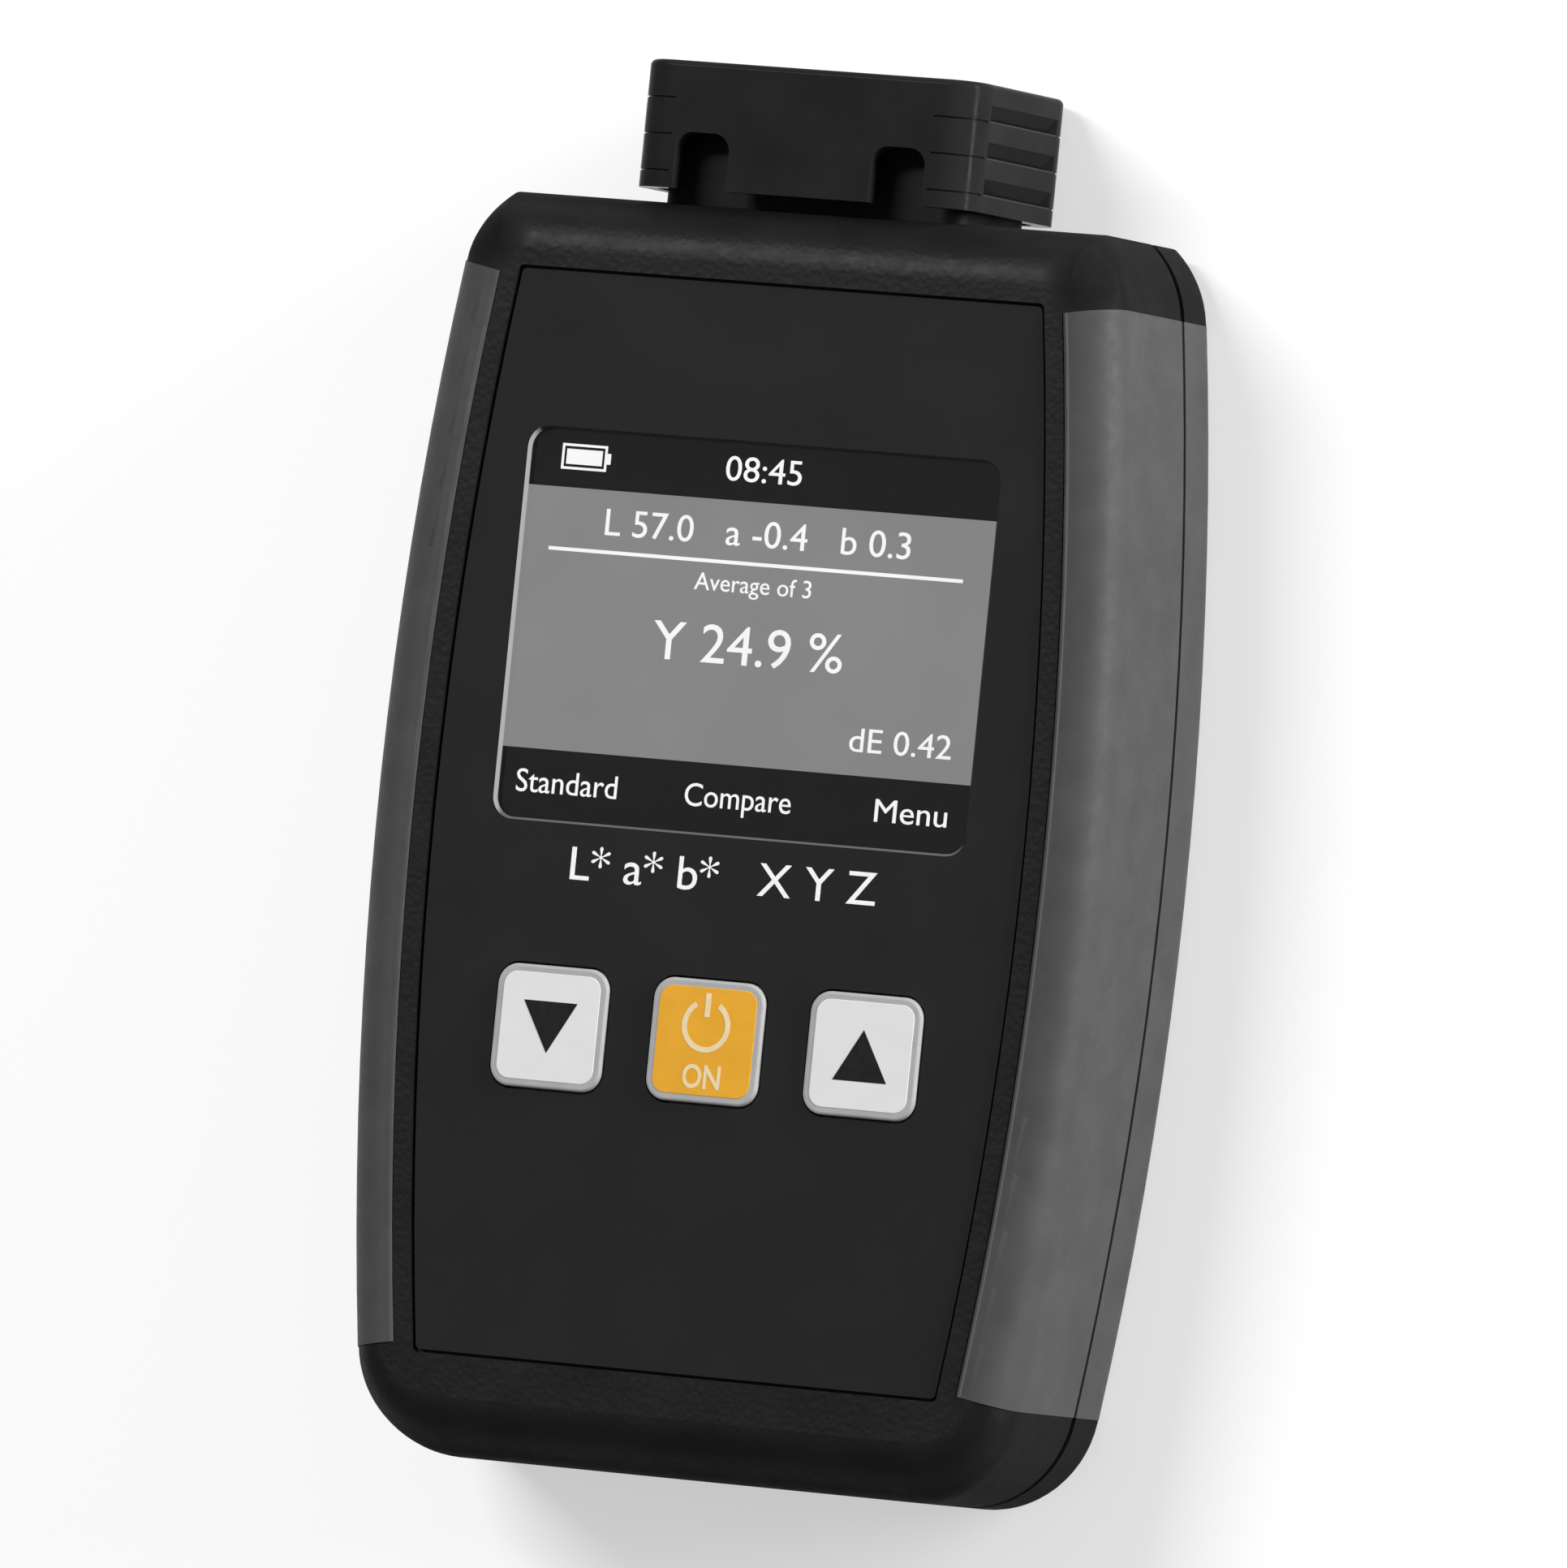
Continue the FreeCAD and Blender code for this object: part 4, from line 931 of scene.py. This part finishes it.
# %% [markdown]
# The power sign is an open ring with a bar in its gap. A small rectangle spun through most of a turn makes the ring,
# which keeps its ends square as the printed one does.

# %% Power ring
ring_outer = 2.95
ring_inner = 2.35
ring_rise = 1.75
ring_gap = math.radians(62.0)
ring_steps = 48
middle = inlay_tops["key_ok"]
ring_centre = Vector((middle.x, middle.y + ring_rise, middle.z))
ring = bmesh.new()
corners = [(ring_inner, 0.0), (ring_outer, 0.0), (ring_outer, ink_thickness), (ring_inner, ink_thickness)]
profile = [ring.verts.new(Vector((0.0, across, up)) * mm) for across, up in corners]
section = ring.faces.new(profile)
bmesh.ops.rotate(ring, cent=(0.0, 0.0, 0.0), matrix=Matrix.Rotation(ring_gap / 2, 3, "Z"), verts=ring.verts)
bmesh.ops.spin(ring, geom=[section, *section.edges, *section.verts], axis=(0.0, 0.0, 1.0), cent=(0.0, 0.0, 0.0),
               angle=2 * math.pi - ring_gap, steps=ring_steps)
bmesh.ops.translate(ring, vec=ring_centre * mm, verts=ring.verts)
finish_piece(ring, "key_ok_ring", ink_pale, "key_ok")

# %% [markdown]
# The bar is a plate that runs out through the ring's gap, and the word below it is set like the words on the screen.

# %% Power bar and word
bar_half_width = 0.32
bar_start = 0.95
bar_end = 3.6
bar_round = 0.05
word_height = 2.5
word_width = 4.6
word_bold = 0.06
word_drop = 5.15
bar = rounded_plate(ring_centre.x - bar_half_width, ring_centre.x + bar_half_width, ring_centre.y + bar_start,
                    ring_centre.y + bar_end, middle.z, middle.z + ink_thickness, bar_round)
finish_piece(bar, "key_ok_bar", ink_pale, "key_ok")
word = letters("ON", word_height, word_width, ink_thickness, word_bold)
set_letters(word, middle.x, middle.y - word_drop, middle.z, "centre")
finish_piece(word, "key_ok_word", ink_pale, "key_ok")

# %% [markdown]
# Under the screen the fascia carries the letters of two colour scales that such a meter reads in.

# %% Fascia print
print_height = 3.6
print_width = 37.4
print_base = -13.3
scale_print = letters("L* a* b*   X Y Z", print_height, print_width, ink_thickness)
set_letters(scale_print, 0.0, print_base, fascia_top, "centre")
finish_piece(scale_print, "fascia_scale_print", ink_white, "case")
